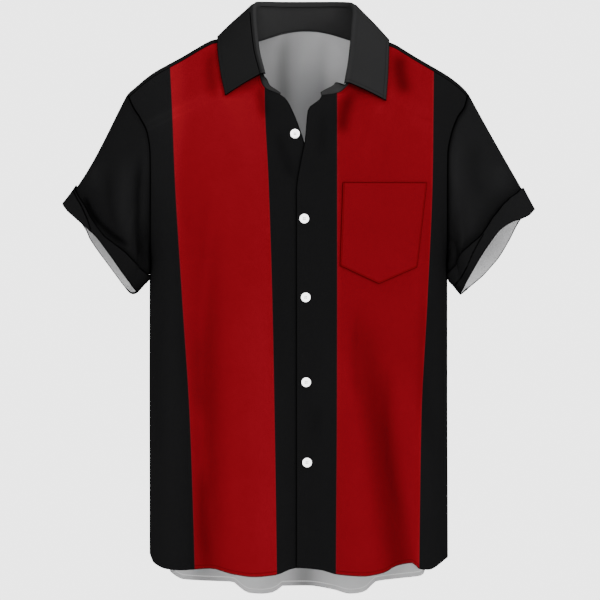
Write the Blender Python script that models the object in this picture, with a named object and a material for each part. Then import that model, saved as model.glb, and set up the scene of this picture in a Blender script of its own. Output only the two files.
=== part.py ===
"""Short-sleeved bowling shirt, filled out with no wearer: every cloth piece is a thin wall.

Metres, +Z up. The front faces -Y and the wearer's left is +X. The origin is in the middle
of the neck opening, level with the sides of the neck.
"""
import math

import bmesh
import bpy
import numpy as np

# ---------------------------------------------------------------- cloth and seams
CLOTH = 0.0016              # wall thickness of one cloth piece
SEAM_GAP = 0.0004           # air between pieces that are sewn together
SHOULDER_GAP = 0.0008       # air at the shoulder seams, whose two sides are divided differently
LAYER_GAP = 0.0005          # air between pieces that lie on each other

# ---------------------------------------------------------------- body of the shirt
BODY_Y = 0.003              # middle of the body, front to back
SECTION_POWER = 2.6         # how square a level section is (2 is an ellipse)
SHOULDER_POWER = 2.2        # the same for the curve over the shoulder, front to back
# height in which the shoulder turns into the upright chest or back, and the cloth in that turn
SHOULDER_DROP = dict(front=0.175, back=0.130)
SHOULDER_WAY = dict(front=0.235, back=0.195)
SEAM_FORWARD = 0.024        # the shoulder seam lies this far in front of the ridge
ARMPIT = -0.292
ARM_MIDDLE = -0.150         # level where the armhole is widest
ARM_ANGLE = 55.0            # direction of the armhole from straight ahead, at that level
ARM_TOP_ANGLE = 62.6        # the same at the shoulder point
ARM_ROUND = 1.8             # how round the armhole's bottom is (2 is an ellipse)

# level, front depth and back depth of the body, and half width below the arms each side
BODY = [
    # level   front   back    right   left
    (0.000, 0.100, 0.105, 0.2057, 0.1860),
    (-0.050, 0.112, 0.118, 0.2057, 0.1860),
    (-0.100, 0.124, 0.130, 0.2057, 0.1860),
    (-0.160, 0.133, 0.137, 0.2057, 0.1860),
    (-0.230, 0.136, 0.139, 0.2057, 0.1860),
    (-0.300, 0.134, 0.136, 0.2057, 0.1860),
    (-0.450, 0.128, 0.126, 0.2060, 0.1860),
    (-0.600, 0.125, 0.124, 0.2057, 0.1865),
    (-0.740, 0.126, 0.128, 0.2057, 0.1870),
]

# ridge of the shoulders: distance from the middle and height, each side
RIDGE_RIGHT = [
    # out     height
    (0.000, -0.0015), (0.072, -0.0010), (0.098, 0.0025), (0.112, 0.0028), (0.121, 0.0019),
    (0.130, -0.0019), (0.144, -0.0098), (0.162, -0.0205), (0.180, -0.0303), (0.199, -0.0410),
    (0.212, -0.0505), (0.225, -0.0616), (0.237, -0.0718), (0.260, -0.0938),
]
RIDGE_LEFT = [
    # out     height
    (0.000, -0.0015), (0.072, -0.0010), (0.087, 0.0020), (0.106, -0.0006), (0.116, -0.0040),
    (0.129, -0.0116), (0.1415, -0.0194), (0.160, -0.0302), (0.177, -0.0400), (0.190, -0.0483),
    (0.204, -0.0594), (0.214, -0.0696), (0.236, -0.0900),
]
NECK_RISE = 0.038           # the body's form rises this much more in the middle of the neck
NECK_HALF = 0.068           # half width of the neck opening
NECK_FADE = 0.120           # level by which that rise has gone
NECK_BACK = 0.066           # depth of the neckline at the back
NECK_ROUND = 0.9            # how round it runs there (1 is an ellipse)
# the collar ends above this height at the corner of each front
NECK_CORNER = dict(right=-0.0725, left=-0.0770)

# armhole seam seen from the front: level below the ridge, distance out each side
ARM_SEAM = [
    # level    right   left
    (0.000, 0.2345, 0.2130),
    (-0.025, 0.2270, 0.2080),
    (-0.050, 0.2180, 0.1990),
    (-0.085, 0.2080, 0.1905),
    (-0.120, 0.2045, 0.1860),
    (-0.170, 0.2040, 0.1855),
    (-0.292, 0.2046, 0.1856),
]

# inner edge of the fronts, seen from the front: neckline, then the open corner, then the overlap
EDGE_RIGHT = [
    # height   across
    (0.0050, -0.0672), (-0.0200, -0.0645), (-0.0440, -0.0605), (-0.0566, -0.0575),
    (-0.0640, -0.0520), (-0.0690, -0.0400), (-0.0745, -0.0290), (-0.0937, -0.0174),
    (-0.1320, -0.0030), (-0.1650, 0.0055), (-0.2000, 0.0100), (-0.7500, 0.0110),
]
EDGE_LEFT = [
    # height   across
    (0.0050, 0.0664), (-0.0200, 0.0630), (-0.0440, 0.0590), (-0.0560, 0.0560),
    (-0.0650, 0.0490), (-0.0710, 0.0400), (-0.0748, 0.0205), (-0.0800, 0.0175),
    (-0.0937, 0.0025),
    (-0.1320, -0.0015), (-0.1650, -0.0080), (-0.2000, -0.0126), (-0.7500, -0.0126),
]
OVERLAP_LIFT = 0.0026       # the left front stands this far out where it covers the right one
OVERLAP_IN = 0.030          # it is fully lifted this far from the middle
OVERLAP_OUT = 0.075         # and lies in the body's own form from here
CORNER_FLARE = 0.0050       # the open corners at the neck turn outward
RIGHT_FLARE = 0.6           # share of that on the right front
# heights over which a corner turns out, and distances from the middle at which it lies back
FLARE_LEFT = dict(start=-0.150, rise=0.060, near=0.004, fade=0.030)
FLARE_RIGHT = dict(start=-0.125, rise=0.045, near=0.010, fade=0.028)
# the pocket and the buttons lie on the lifted front below this height, left of this line
OVERLAP_TOP = -0.14
OVERLAP_LINE = -0.0126

# hem: distance across, height of the front and of the back
HEM_FRONT = [
    # across   height
    (-0.206, -0.6720), (-0.200, -0.6850), (-0.1825, -0.6932), (-0.165, -0.6945),
    (-0.1476, -0.6934), (-0.1258, -0.6921), (-0.0952, -0.6996), (-0.069, -0.7030),
    (-0.0406, -0.7005), (-0.0122, -0.6910), (0.0206, -0.6940), (0.0402, -0.6995),
    (0.0751, -0.7022), (0.1013, -0.6978), (0.1188, -0.6885), (0.1390, -0.6850),
    (0.1493, -0.6930), (0.1602, -0.6940), (0.187, -0.6780),
]
HEM_BACK = [
    # across   height
    (-0.206, -0.6720), (-0.192, -0.6840), (-0.1835, -0.6895), (-0.1790, -0.6985),
    (-0.1607, -0.7090), (-0.117, -0.7115), (-0.0975, -0.7125), (-0.0865, -0.7205),
    (-0.0770, -0.7270), (-0.0580, -0.7285), (-0.0406, -0.7257), (-0.0318, -0.7180),
    (0.0009, -0.7175), (0.0358, -0.7227), (0.0576, -0.7284), (0.0700, -0.7275),
    (0.0795, -0.7240), (0.0926, -0.7120), (0.120, -0.7080), (0.1537, -0.7035),
    (0.1590, -0.6920), (0.170, -0.6880), (0.187, -0.6780),
]

# large soft folds of the body: where across at the top and at the hem, from and to which
# height, half width, and how far out (+) or in (-) the cloth goes
FOLD_FADE = 2.2             # how quickly the folds begin away from the sides
FOLDS_FRONT = [
    # top x   hem x    from     to      width   height
    (-0.132, -0.131, -0.200, -0.740, 0.017, -0.0075),
    (0.067, 0.130, -0.340, -0.740, 0.018, -0.0080),
    (-0.070, -0.062, -0.330, -0.740, 0.026, 0.0050),
    (0.036, 0.062, -0.380, -0.740, 0.026, 0.0050),
    (-0.165, -0.168, -0.420, -0.740, 0.016, 0.0045),
    (0.128, 0.160, -0.420, -0.740, 0.015, 0.0045),
]
FOLDS_BACK = [
    # top x   hem x    from     to      width   height
    (-0.110, -0.126, -0.260, -0.740, 0.020, -0.0085),
    (0.098, 0.112, -0.300, -0.740, 0.020, -0.0085),
    (-0.050, -0.062, -0.280, -0.740, 0.028, 0.0060),
    (0.044, 0.060, -0.320, -0.740, 0.028, 0.0060),
    (-0.004, -0.008, -0.100, -0.740, 0.020, -0.0065),
    (-0.150, -0.166, -0.380, -0.740, 0.018, 0.0050),
    (0.140, 0.152, -0.380, -0.740, 0.017, 0.0050),
    (-0.026, -0.030, 0.020, -0.200, 0.012, -0.0030),
    (0.024, 0.022, 0.020, -0.220, 0.012, -0.0030),
]

# ---------------------------------------------------------------- sleeves and cuffs
# the opening of each sleeve, seen from the front, at the bottom edge of the cuff. Round it the
# angle is 0 at the shoulder's side, 90 in front and 180 under the arm; lip: how far out of the
# straight line the opening lies, cuff: width of the cuff, stand: how far its upper edge stands
# off the sleeve
SLEEVE_RIGHT = dict(
    side=-1, outer=(-0.3168, -0.2120), lower=(-0.2215, -0.3290), half_depth=0.049,
    elbow=(-0.2090, -0.3135),
    top_end=(-0.66, -0.75), top_start=(-0.47, -0.88),
    lip=[
        # angle  out
        (0, 0.0), (10, 0.0022), (17, 0.0032), (32, 0.0036), (44, 0.0022), (57, 0.0),
        (68, -0.0022), (80, -0.0042), (104, -0.0028), (131, -0.0006), (155, 0.0), (180, 0.0),
        (192, 0.0055), (205, 0.0084), (220, 0.0088), (235, 0.0082), (254, 0.0072),
        (270, 0.0062), (283, 0.0046), (294, 0.0010), (303, 0.0002), (316, 0.0018),
        (340, 0.0005), (360, 0.0),
    ],
    cuff=[
        # angle  width
        (0, 0.027), (25, 0.025), (47, 0.021), (66, 0.013), (82, 0.009), (99, 0.015),
        (118, 0.022), (142, 0.025), (180, 0.027), (230, 0.023), (280, 0.024), (330, 0.026),
        (360, 0.027),
    ],
    stand=[
        # angle  off
        (0, 0.0005), (30, 0.0022), (60, 0.0050), (85, 0.0045), (110, 0.0030), (150, 0.0017),
        (180, 0.0006), (210, 0.0010), (250, 0.0030), (310, 0.0030), (360, 0.0005),
    ])
SLEEVE_LEFT = dict(
    side=1, outer=(0.2990, -0.2210), lower=(0.2030, -0.3320), half_depth=0.051,
    elbow=(0.1888, -0.3135),
    top_end=(-0.50, -0.866), top_start=(-0.47, -0.88),
    lip=[
        # angle  out
        (0, 0.0), (28, 0.0), (45, -0.0050), (53, -0.0100), (62, -0.0140), (74, -0.0165),
        (90, -0.0150), (105, -0.0125), (127, -0.0076), (155, -0.0025), (180, 0.0),
        (205, 0.0015), (226, 0.0042), (244, 0.0068), (262, 0.0070), (286, 0.0025),
        (303, -0.0025), (315, -0.0046), (332, 0.0), (360, 0.0),
    ],
    cuff=[
        # angle  width
        (0, 0.030), (26, 0.033), (41, 0.032), (52, 0.027), (64, 0.021), (84, 0.0172),
        (90, 0.0172), (108, 0.024), (130, 0.032), (150, 0.030), (165, 0.025), (180, 0.023),
        (230, 0.025), (280, 0.027), (330, 0.029), (360, 0.030),
    ],
    stand=[
        # angle  off
        (0, 0.0010), (40, 0.0032), (90, 0.0034), (130, 0.0020), (180, 0.0003),
        (210, 0.0010), (250, 0.0030), (310, 0.0030), (360, 0.0010),
    ])
# directions, out and up, in which a sleeve leaves the armhole and reaches its end, in front and
# behind (side) and under the arm (low)
SIDE_START = (-0.97, -0.24)
SIDE_END = (-0.767, -0.642)
LOW_START = (-0.14, -0.990)
LOW_END = (-0.880, -0.475)
UNDER_ARM = 0.93            # share of the way to the bottom where the low directions begin
SLEEVE_IN = 0.0006          # a sleeve begins this far inside the armhole
ELBOW_PULL = 2.8            # how closely the cloth under the arm follows the body to the elbow
ELBOW_FROM = 0.80           # share of the way to the bottom where that begins
ELBOW_FADE = 0.13           # and how much further down it holds in full
ELBOW_NEAR = 0.0042         # how much nearer the middle it lies in front and behind
ELBOW_TURN = 0.117          # squared sine of the angle at which it is that much nearer
END_POWER = 0.65            # roundness of the opening, 1 is an ellipse and less is boxier
CUFF_REACH = 0.62           # the cuff covers at most this share of the sleeve's length
CUFF_LIP = 0.0012           # the cuff's lower edge lies this far past the sleeve's

# ---------------------------------------------------------------- collar
STAND_IN = 0.0006           # the stand begins this far inside the neckline
STAND_UNDER = 0.00096       # and this far under the outside of the body
STAND_END_RIGHT = 0.0105    # height of the stand where its ends lie in the opening
STAND_END_LEFT = 0.0145
STAND_END_TAPER = 0.6       # how much of that height is gone at the very ends
TAB_START = 0.001           # how far past the fall the stand begins to turn down to its end
TAB_TURN = 0.35             # share of the end in which it turns
TAB_WAY = (0.95, 0.3)       # its direction: into the neck opening, away from the body
STAND_TOP = (0.0026, -0.0032)   # the stand's upper edge, inward and up from the fold line
STAND_ROWS = 3
COLLAR_REST = 0.0022        # how far the fall's outer edge lies off the body
LIP_TAPER = 0.12            # share of the fold in which its inner lip grows from the ends
LIP_LEAST = 0.25            # share of the lip that is left at the ends
LIP_SINK = 0.0002           # and how far it lies back there
COLLAR_BOW = 0.0015         # how far the fall bows out between its fold and its edge
FOLD_LINE = [               # from the wearer's right front end round the back to the left one
    # across   depth    height
    (-0.0580, -0.0880, -0.0440),
    (-0.0665, -0.0650, -0.0110),
    (-0.0702, -0.0350, 0.0220),
    (-0.0715, 0.0040, 0.0434),
    (-0.0675, 0.0450, 0.0503),
    (-0.0380, 0.0690, 0.0508),
    (0.0000, 0.0745, 0.0510),
    (0.0360, 0.0690, 0.0506),
    (0.0622, 0.0450, 0.0498),
    (0.0665, 0.0040, 0.0425),
    (0.0648, -0.0350, 0.0180),
    (0.0612, -0.0680, -0.0180),
    (0.0550, -0.0970, -0.0560),
]
FALL_EDGE = [               # the fall's outer edge, lying on the front, the ridge or the back
    # across   height   face
    (-0.1052, -0.0745, "front"),
    (-0.1120, -0.0430, "front"),
    (-0.1155, -0.0120, "front"),
    (-0.1155, 0.0, "ridge"),
    (-0.1020, -0.0030, "back"),
    (-0.0580, -0.0090, "back"),
    (0.0000, -0.0110, "back"),
    (0.0540, -0.0090, "back"),
    (0.0940, -0.0030, "back"),
    (0.1075, 0.0, "ridge"),
    (0.1080, -0.0150, "front"),
    (0.1070, -0.0460, "front"),
    (0.1042, -0.0812, "front"),
]
# the collar's fold from inside the neck to the outside: inward and up from the fold line
FOLD_ROLL = [
    # in       up
    (0.0064, -0.0070), (0.0058, -0.0018), (0.0034, 0.0006), (0.0006, -0.0002),
]

# ---------------------------------------------------------------- pocket and buttons
# corners of the pocket seen from the front: across, height
POCKET = dict(top_left=(0.0478, -0.187), top_right=(0.158, -0.187), low_right=(0.145, -0.2976),
              tip=(0.095, -0.3195), low_left=(0.044, -0.2957))
BUTTON_RADIUS = 0.0061
BUTTON_THICKNESS = 0.0030
BUTTON_LIFT = 0.0006
# share of the radius and of the thickness, from the middle of the front round to the back
BUTTON_PROFILE = [(0.0, 0.72), (0.62, 0.72), (0.78, 1.0), (0.93, 0.92), (1.0, 0.55), (0.86, 0.0),
                  (0.0, 0.0)]
# across and height; the first is on the wearer's right front
BUTTONS = [(-0.0144, -0.1235), (-0.0023, -0.2342), (-0.0004, -0.3370), (0.0003, -0.4480),
           (0.0015, -0.5530)]

# ---------------------------------------------------------------- how finely pieces are divided
FRONT_COLUMNS = 16
BACK_COLUMNS = 36
LOW_ROWS = 11
CUFF_ROWS = 4
SLEEVE_ROWS = 10
CUFF_LINE_ROWS = 60         # of the line along the sleeve that the cuff is measured on
FALL_ROWS = 5
FALL_COLUMNS = 40
NECK_COLUMNS = 16
POCKET_COLUMNS = 6
POCKET_ROWS = 8
BUTTON_SIDES = 20
SEARCH_STEPS = 40           # halvings in a search for a place on the body
HEM_LEVEL = -0.6            # level where the fronts' columns are spaced for the hem
BACK_TOP_WAYS = [-0.018, 0.0]   # ways of the back's rows at the ridge
# points of the body that the collar is kept clear of: ways and angles, from, to, how many
CLOUD_WAYS = (-0.17, 0.21, 96)
CLOUD_ANGLES = (-62, 62, 84)
# levels of the rows between the armpit and the shoulder, below the ridge
ARM_LEVELS = [-0.2915, -0.287, -0.272, -0.248, -0.219, -0.189, -0.160, -0.132, -0.110, -0.095,
              -0.082, -0.075, -0.064, -0.046, -0.023]

COLOURS = dict(black=(0.010, 0.010, 0.011, 1), red=(0.30, 0.004, 0.006, 1),
               white=(0.80, 0.80, 0.78, 1))


# ================================================================ small helpers
def read_table(rows, key, column):
    """Smooth value of a table's column at key, through its rows (cubic, no overshoot)."""
    rows = sorted(rows)
    keys = np.array([row[0] for row in rows])
    values = np.array([row[column] for row in rows])
    steps = np.diff(keys)
    slopes = np.diff(values) / steps
    tangents = np.zeros(len(keys))
    for i in range(1, len(keys) - 1):
        if slopes[i - 1] * slopes[i] > 0:
            tangents[i] = 2 * slopes[i - 1] * slopes[i] / (slopes[i - 1] + slopes[i])
    tangents[0] = slopes[0]
    tangents[-1] = slopes[-1]
    key = float(np.clip(key, keys[0], keys[-1]))
    i = int(np.clip(np.searchsorted(keys, key) - 1, 0, len(keys) - 2))
    t = (key - keys[i]) / steps[i]
    h00 = 2 * t ** 3 - 3 * t ** 2 + 1
    h10 = t ** 3 - 2 * t ** 2 + t
    return float(h00 * values[i] + h10 * steps[i] * tangents[i] + (1 - h00) * values[i + 1]
                 + (t ** 3 - t ** 2) * steps[i] * tangents[i + 1])


def blend(a, b, t):
    """Straight mix of two numbers or vectors."""
    return a + (b - a) * t


def ease(t):
    """0 to 1 with soft ends."""
    t = min(max(t, 0.0), 1.0)
    return t * t * (3 - 2 * t)


def unit(vector):
    """Vector of length 1."""
    return vector / max(np.linalg.norm(vector), 1e-12)


# ================================================================ form of the body
def shoulder_turn(way):
    """Level below the ridge and share of the full depth, at a way over the shoulder."""
    face = "front" if way > 0 else "back"
    turn = min(abs(way) / SHOULDER_WAY[face], 1.0) * math.pi / 2
    power = 2 / SHOULDER_POWER
    level = -SHOULDER_DROP[face] * (1 - max(math.cos(turn), 0.0) ** power)
    level -= max(abs(way) - SHOULDER_WAY[face], 0.0)
    return level, math.sin(turn) ** power


def way_of_level(level, face):
    """Way from the ridge at which the body has come down to a level (- on the back)."""
    drop = SHOULDER_DROP[face]
    if level <= -drop:
        way = SHOULDER_WAY[face] - drop - level
    else:
        turn = math.acos((1 + level / drop) ** (SHOULDER_POWER / 2))
        way = SHOULDER_WAY[face] * turn / (math.pi / 2)
    return way if face == "front" else -way


def section(angle):
    """Point of the unit section at an angle in degrees from straight ahead."""
    across = math.sin(math.radians(angle))
    ahead = math.cos(math.radians(angle))
    size = (abs(across) ** SECTION_POWER + abs(ahead) ** SECTION_POWER) ** (1 / SECTION_POWER)
    return across / size, ahead / size


def arm_angle(level):
    """Angle at which the body ends at the armhole, or at the side below it."""
    if level <= ARMPIT:
        return 90.0
    if level < ARM_MIDDLE:
        share = (ARM_MIDDLE - level) / (ARM_MIDDLE - ARMPIT)
        return 90 - (90 - ARM_ANGLE) * (1 - share ** ARM_ROUND) ** (1 / ARM_ROUND)
    share = 1 - level / ARM_MIDDLE
    return ARM_ANGLE + (ARM_TOP_ANGLE - ARM_ANGLE) * share ** 2


def half_width(level, side):
    """Half width of the full section at a level."""
    column = 1 if side < 0 else 2
    low = read_table(BODY, level, 3 if side < 0 else 4)
    if level <= ARMPIT - 0.02:
        return low
    seam = read_table(ARM_SEAM, level, column) / section(arm_angle(level))[0]
    return blend(low, seam, ease((level - ARMPIT + 0.02) / 0.02))


def ridge_height(x, level):
    """Rise of the body towards the neck at a distance across, fading out by the armpit."""
    rise = read_table(RIDGE_RIGHT if x < 0 else RIDGE_LEFT, abs(x), 1)
    neck = NECK_RISE * max(1 - (x / NECK_HALF) ** 2, 0.0) ** 1.5
    return rise * (1 - ease(level / ARMPIT)) + neck * (1 - ease(-level / NECK_FADE))


def fold_depth(x, z, front):
    """How far the large folds move the cloth out."""
    depth = 0.0
    for top_x, hem_x, start, end, width, height in (FOLDS_FRONT if front else FOLDS_BACK):
        along = (start - z) / (start - end)
        if along <= 0:
            continue
        middle = blend(top_x, hem_x, along)
        strength = math.sin(math.pi * min(along * 2, 1.0) / 2)
        depth += height * strength * math.exp(-((x - middle) / width) ** 2)
    return depth


def body_point(angle, way):
    """Point of the body's outer face: angle across (- right, + left), way over the shoulder
    (+ front, - back)."""
    front = way > 0
    level, share = shoulder_turn(way)
    side = -1 if angle < 0 else 1
    across, ahead = section(angle)
    x = half_width(level, side) * across
    z = level + ridge_height(x, level)
    depth = read_table(BODY, level, 1 if front else 2) * share
    depth += fold_depth(x, z, front) * share * min(abs(ahead) * FOLD_FADE, 1.0)
    return np.array([x, BODY_Y + (-depth if front else depth) * ahead, z])


def body_normal(angle, way):
    """Outward direction of the body at a point."""
    step = 0.4
    across = body_point(angle + step, way) - body_point(angle - step, way)
    down = body_point(angle, way + 0.001) - body_point(angle, way - 0.001)
    return unit(np.cross(across, down)) * -1.0


def angle_at(x, way):
    """Angle at which the body is at a distance across."""
    level = shoulder_turn(way)[0]
    side = -1 if x < 0 else 1
    ratio = min(abs(x) / half_width(level, side), 1.0)
    ahead = (1 - ratio ** SECTION_POWER) ** (1 / SECTION_POWER)
    return side * math.degrees(math.atan2(ratio, ahead))


def place_at(x, z, front=True):
    """Angle and way of the body's point that is seen at (x, z)."""
    low, high = -0.80, 0.0
    for _ in range(SEARCH_STEPS):
        level = (low + high) / 2
        if level + ridge_height(x, level) < z:
            low = level
        else:
            high = level
    way = way_of_level(level, "front" if front else "back")
    return angle_at(x, way), way


# ================================================================ walls and objects
def add_material(name, colour, roughness):
    """Principled material."""
    material = bpy.data.materials.new(name)
    material.use_nodes = True
    shader = material.node_tree.nodes["Principled BSDF"]
    shader.inputs["Base Color"].default_value = colour
    shader.inputs["Roughness"].default_value = roughness
    return material


def add_wall(name, outer, inner, material, closed=False):
    """Object whose wall lies between two grids of points; closed joins the first and last
    columns."""
    outer = np.array(outer)
    inner = np.array(inner)
    rows, columns = outer.shape[:2]
    mesh = bmesh.new()
    faces = [[[mesh.verts.new(tuple(point)) for point in row] for row in grid]
             for grid in (outer, inner)]
    last = columns if closed else columns - 1
    for i in range(rows - 1):
        for j in range(last):
            k = (j + 1) % columns
            for grid, turn in ((faces[0], False), (faces[1], True)):
                corners = [grid[i][j], grid[i][k], grid[i + 1][k], grid[i + 1][j]]
                mesh.faces.new(corners[::-1] if turn else corners)
    for j in range(last):
        k = (j + 1) % columns
        for i, turn in ((0, True), (rows - 1, False)):
            corners = [faces[0][i][j], faces[0][i][k], faces[1][i][k], faces[1][i][j]]
            mesh.faces.new(corners[::-1] if turn else corners)
    if not closed:
        for i in range(rows - 1):
            for j, turn in ((0, False), (columns - 1, True)):
                corners = [faces[0][i][j], faces[0][i + 1][j], faces[1][i + 1][j], faces[1][i][j]]
                mesh.faces.new(corners[::-1] if turn else corners)
    bmesh.ops.triangulate(mesh, faces=mesh.faces, quad_method="SHORT_EDGE")
    bmesh.ops.recalc_face_normals(mesh, faces=mesh.faces)
    if mesh.calc_volume(signed=True) < 0:
        bmesh.ops.reverse_faces(mesh, faces=mesh.faces)
    data = bpy.data.meshes.new(name)
    mesh.to_mesh(data)
    mesh.free()
    data.materials.append(material)
    data.shade_smooth()
    data.set_sharp_from_angle(angle=math.radians(50))
    piece = bpy.data.objects.new(name, data)
    shirt.objects.link(piece)
    return piece


def body_wall(name, places, material, lift=None):
    """Wall on the body from a grid of (angle, way); lift(x, z) moves it out."""
    outer = []
    inner = []
    for row in places:
        outer_row = []
        inner_row = []
        for angle, way in row:
            point = body_point(angle, way)
            normal = body_normal(angle, way)
            if lift:
                point = point + normal * lift(point[0], point[2])
            outer_row.append(point)
            inner_row.append(point - normal * CLOTH)
        outer.append(outer_row)
        inner.append(inner_row)
    return add_wall(name, outer, inner, material)


def trimmed(angle, way, across):
    """The same place moved across the body by so many metres."""
    size = np.linalg.norm(body_point(angle + 0.5, way) - body_point(angle - 0.5, way))
    return angle + across / size, way


# ================================================================ fronts and back
def corner_flare(x, z, reach):
    """How much of its flare a front's open corner has at a point."""
    high = ease((z - reach["start"]) / reach["rise"])
    return high * (1 - ease((abs(x) - reach["near"]) / reach["fade"]))


def overlap_lift(x, z):
    """The left front is lifted over the right one near the middle, and its corner flares."""
    near = 1 - ease((abs(x) - OVERLAP_IN) / (OVERLAP_OUT - OVERLAP_IN))
    return OVERLAP_LIFT * near + CORNER_FLARE * corner_flare(x, z, FLARE_LEFT)


def corner_lift(x, z):
    """The right front's open corner flares outward too."""
    return CORNER_FLARE * RIGHT_FLARE * corner_flare(x, z, FLARE_RIGHT)


def front_levels():
    """Ways of the rows above the armpit, up to the shoulder seam."""
    seam_way = way_at_depth(SEAM_FORWARD)
    return [way_of_level(level, "front") for level in ARM_LEVELS] + [seam_way]


def back_ways():
    """Ways of the back's rows above the armpit, up to the ridge."""
    return [way_of_level(level, "back") for level in ARM_LEVELS] + BACK_TOP_WAYS


def way_at_depth(depth):
    """Way in front of the ridge at which the body is so far forward at mid shoulder."""
    way = 0.0
    while -(body_point(40, way)[1] - BODY_Y) < depth:
        way += 0.0005
    return way


def edge_place(edge, way):
    """Where a front's inner edge crosses a row: its angle."""
    low, high = -0.03, 0.09
    if edge is EDGE_RIGHT:
        low, high = -0.09, 0.03
    keys = sorted(edge)
    for _ in range(SEARCH_STEPS):
        x = (low + high) / 2
        level = shoulder_turn(way)[0]
        z = level + ridge_height(x, level)
        target = read_table(keys, z, 1)
        if x < target:
            low = x
        else:
            high = x
    return angle_at(x, way)


def low_way(angle, share, front):
    """Way of a row between the hem and the armpit."""
    side = -1 if angle < 0 else 1
    x = half_width(-0.7, side) * section(angle)[0]
    hem = read_table(HEM_FRONT if front else HEM_BACK, x, 1)
    return way_of_level(blend(hem, ARM_LEVELS[0] - 0.001, share), "front" if front else "back")


def front_grid(side):
    """Rows of (angle, way) for one front, from the hem up to the shoulder seam."""
    edge = EDGE_RIGHT if side < 0 else EDGE_LEFT
    trim = SEAM_GAP / 2
    rows = []
    for i in range(LOW_ROWS):
        share = i / LOW_ROWS
        row = []
        start = edge_place(edge, way_of_level(HEM_LEVEL, "front"))
        for j in range(FRONT_COLUMNS + 1):
            angle = blend(start, side * 90.0, j / FRONT_COLUMNS)
            way = low_way(angle, share, True)
            row.append((blend(edge_place(edge, way), side * 90.0, j / FRONT_COLUMNS), way))
        rows.append(row)
    for way in front_levels():
        level = shoulder_turn(way)[0]
        start = edge_place(edge, way)
        end = side * arm_angle(level)
        rows.append([(blend(start, end, j / FRONT_COLUMNS), way)
                     for j in range(FRONT_COLUMNS + 1)])
    for i, row in enumerate(rows):
        if i < len(rows) - 1:
            row[-1] = trimmed(*row[-1], -side * trim)
        else:
            rows[i] = [(angle, way + SHOULDER_GAP / 2) for angle, way in row]
            rows[i][-1] = trimmed(*rows[i][-1], -side * trim)
    return rows


def neck_way(angle_round):
    """Across and way of the back neckline, at an angle round the neck (90 at its sides)."""
    seam_way = front_levels()[-1]
    side = -1 if angle_round < 0 else 1
    x = side * NECK_HALF * abs(math.sin(math.radians(angle_round)))
    front_y = body_point(angle_at(NECK_HALF, seam_way), seam_way)[1]
    y = blend(front_y, NECK_BACK, max(math.cos(math.radians(angle_round)), 0) ** NECK_ROUND)
    if abs(angle_round) >= 89.9:
        return x, seam_way
    low, high = -SHOULDER_WAY["back"], seam_way
    for _ in range(SEARCH_STEPS):
        way = (low + high) / 2
        if body_point(angle_at(x, way), way)[1] > y:
            low = way
        else:
            high = way
    return x, way


def back_grid():
    """Rows of (angle, way) for the back, from the hem up to the shoulders and the neckline."""
    trim = SEAM_GAP / 2
    seam_way = front_levels()[-1]
    shoulder_count = (BACK_COLUMNS - NECK_COLUMNS) // 2
    top_angle = arm_angle(shoulder_turn(seam_way)[0])
    top = []
    for j in range(shoulder_count):
        top.append((blend(-top_angle, angle_at(-NECK_HALF, seam_way), j / shoulder_count),
                    seam_way))
    for j in range(NECK_COLUMNS + 1):
        x, way = neck_way(-90 + 180 * j / NECK_COLUMNS)
        top.append((angle_at(x, way), way))
    for j in range(1, shoulder_count + 1):
        top.append((blend(angle_at(NECK_HALF, seam_way), top_angle, j / shoulder_count),
                    seam_way))
    rows = []
    for i in range(LOW_ROWS):
        row = []
        for j in range(BACK_COLUMNS + 1):
            angle = -90 + 180 * j / BACK_COLUMNS
            row.append((angle, low_way(angle, i / LOW_ROWS, False)))
        rows.append(row)
    ways = back_ways() + [seam_way]
    for way in ways:
        level = shoulder_turn(way)[0]
        end = arm_angle(level)
        share = (way - ways[0]) / (ways[-1] - ways[0])
        row = []
        for j in range(BACK_COLUMNS + 1):
            even = -end + 2 * end * j / BACK_COLUMNS
            as_top = top[j][0] * end / top_angle
            pull = (top[j][1] - seam_way) * share ** 3
            row.append((blend(even, as_top, share ** 1.5), way + pull))
        rows.append(row)
    rows[-1] = [(angle, way - SHOULDER_GAP / 2) for angle, way in top]
    for i, row in enumerate(rows):
        row[0] = trimmed(*row[0], trim)
        row[-1] = trimmed(*row[-1], -trim)
    return rows


# ================================================================ sleeves
def arm_loop(side):
    """Ways of the armhole's points from the shoulder seam down the front and up the back."""
    front = [(way, side * arm_angle(shoulder_turn(way)[0])) for way in front_levels()[::-1]]
    return front + [(way, side * arm_angle(shoulder_turn(way)[0])) for way in back_ways()]


def arm_ring(side):
    """Outer points and outward directions of the sleeve's first ring, just inside the hole."""
    loop = arm_loop(side)
    points = np.array([body_point(angle, way) for way, angle in loop])
    normals = np.array([body_normal(angle, way) for way, angle in loop])
    moved = []
    for i in range(len(loop)):
        along = unit(points[(i + 1) % len(loop)] - points[i - 1])
        into = unit(np.cross(normals[i], along)) * side
        moved.append(points[i] + into * SLEEVE_IN)
    return np.array(moved), normals


def round_share(points):
    """Angle of each ring point, 0 at the top, 180 at the bottom, by length of cloth."""
    count = len(points)
    top = int(np.argmax(points[:, 2]))
    low = int(np.argmin(points[:, 2]))
    lengths = np.linalg.norm(points[(np.arange(count) + 1) % count] - points, axis=1)
    angles = np.zeros(count)
    front_total = sum(lengths[(top + k) % count] for k in range((low - top) % count))
    back_total = sum(lengths) - front_total
    run = 0.0
    for k in range(count):
        i = (top + k) % count
        if run <= front_total + 1e-9:
            angles[i] = 180 * run / front_total
        else:
            angles[i] = 180 + 180 * (run - front_total) / back_total
        run += lengths[i]
    return angles


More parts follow.
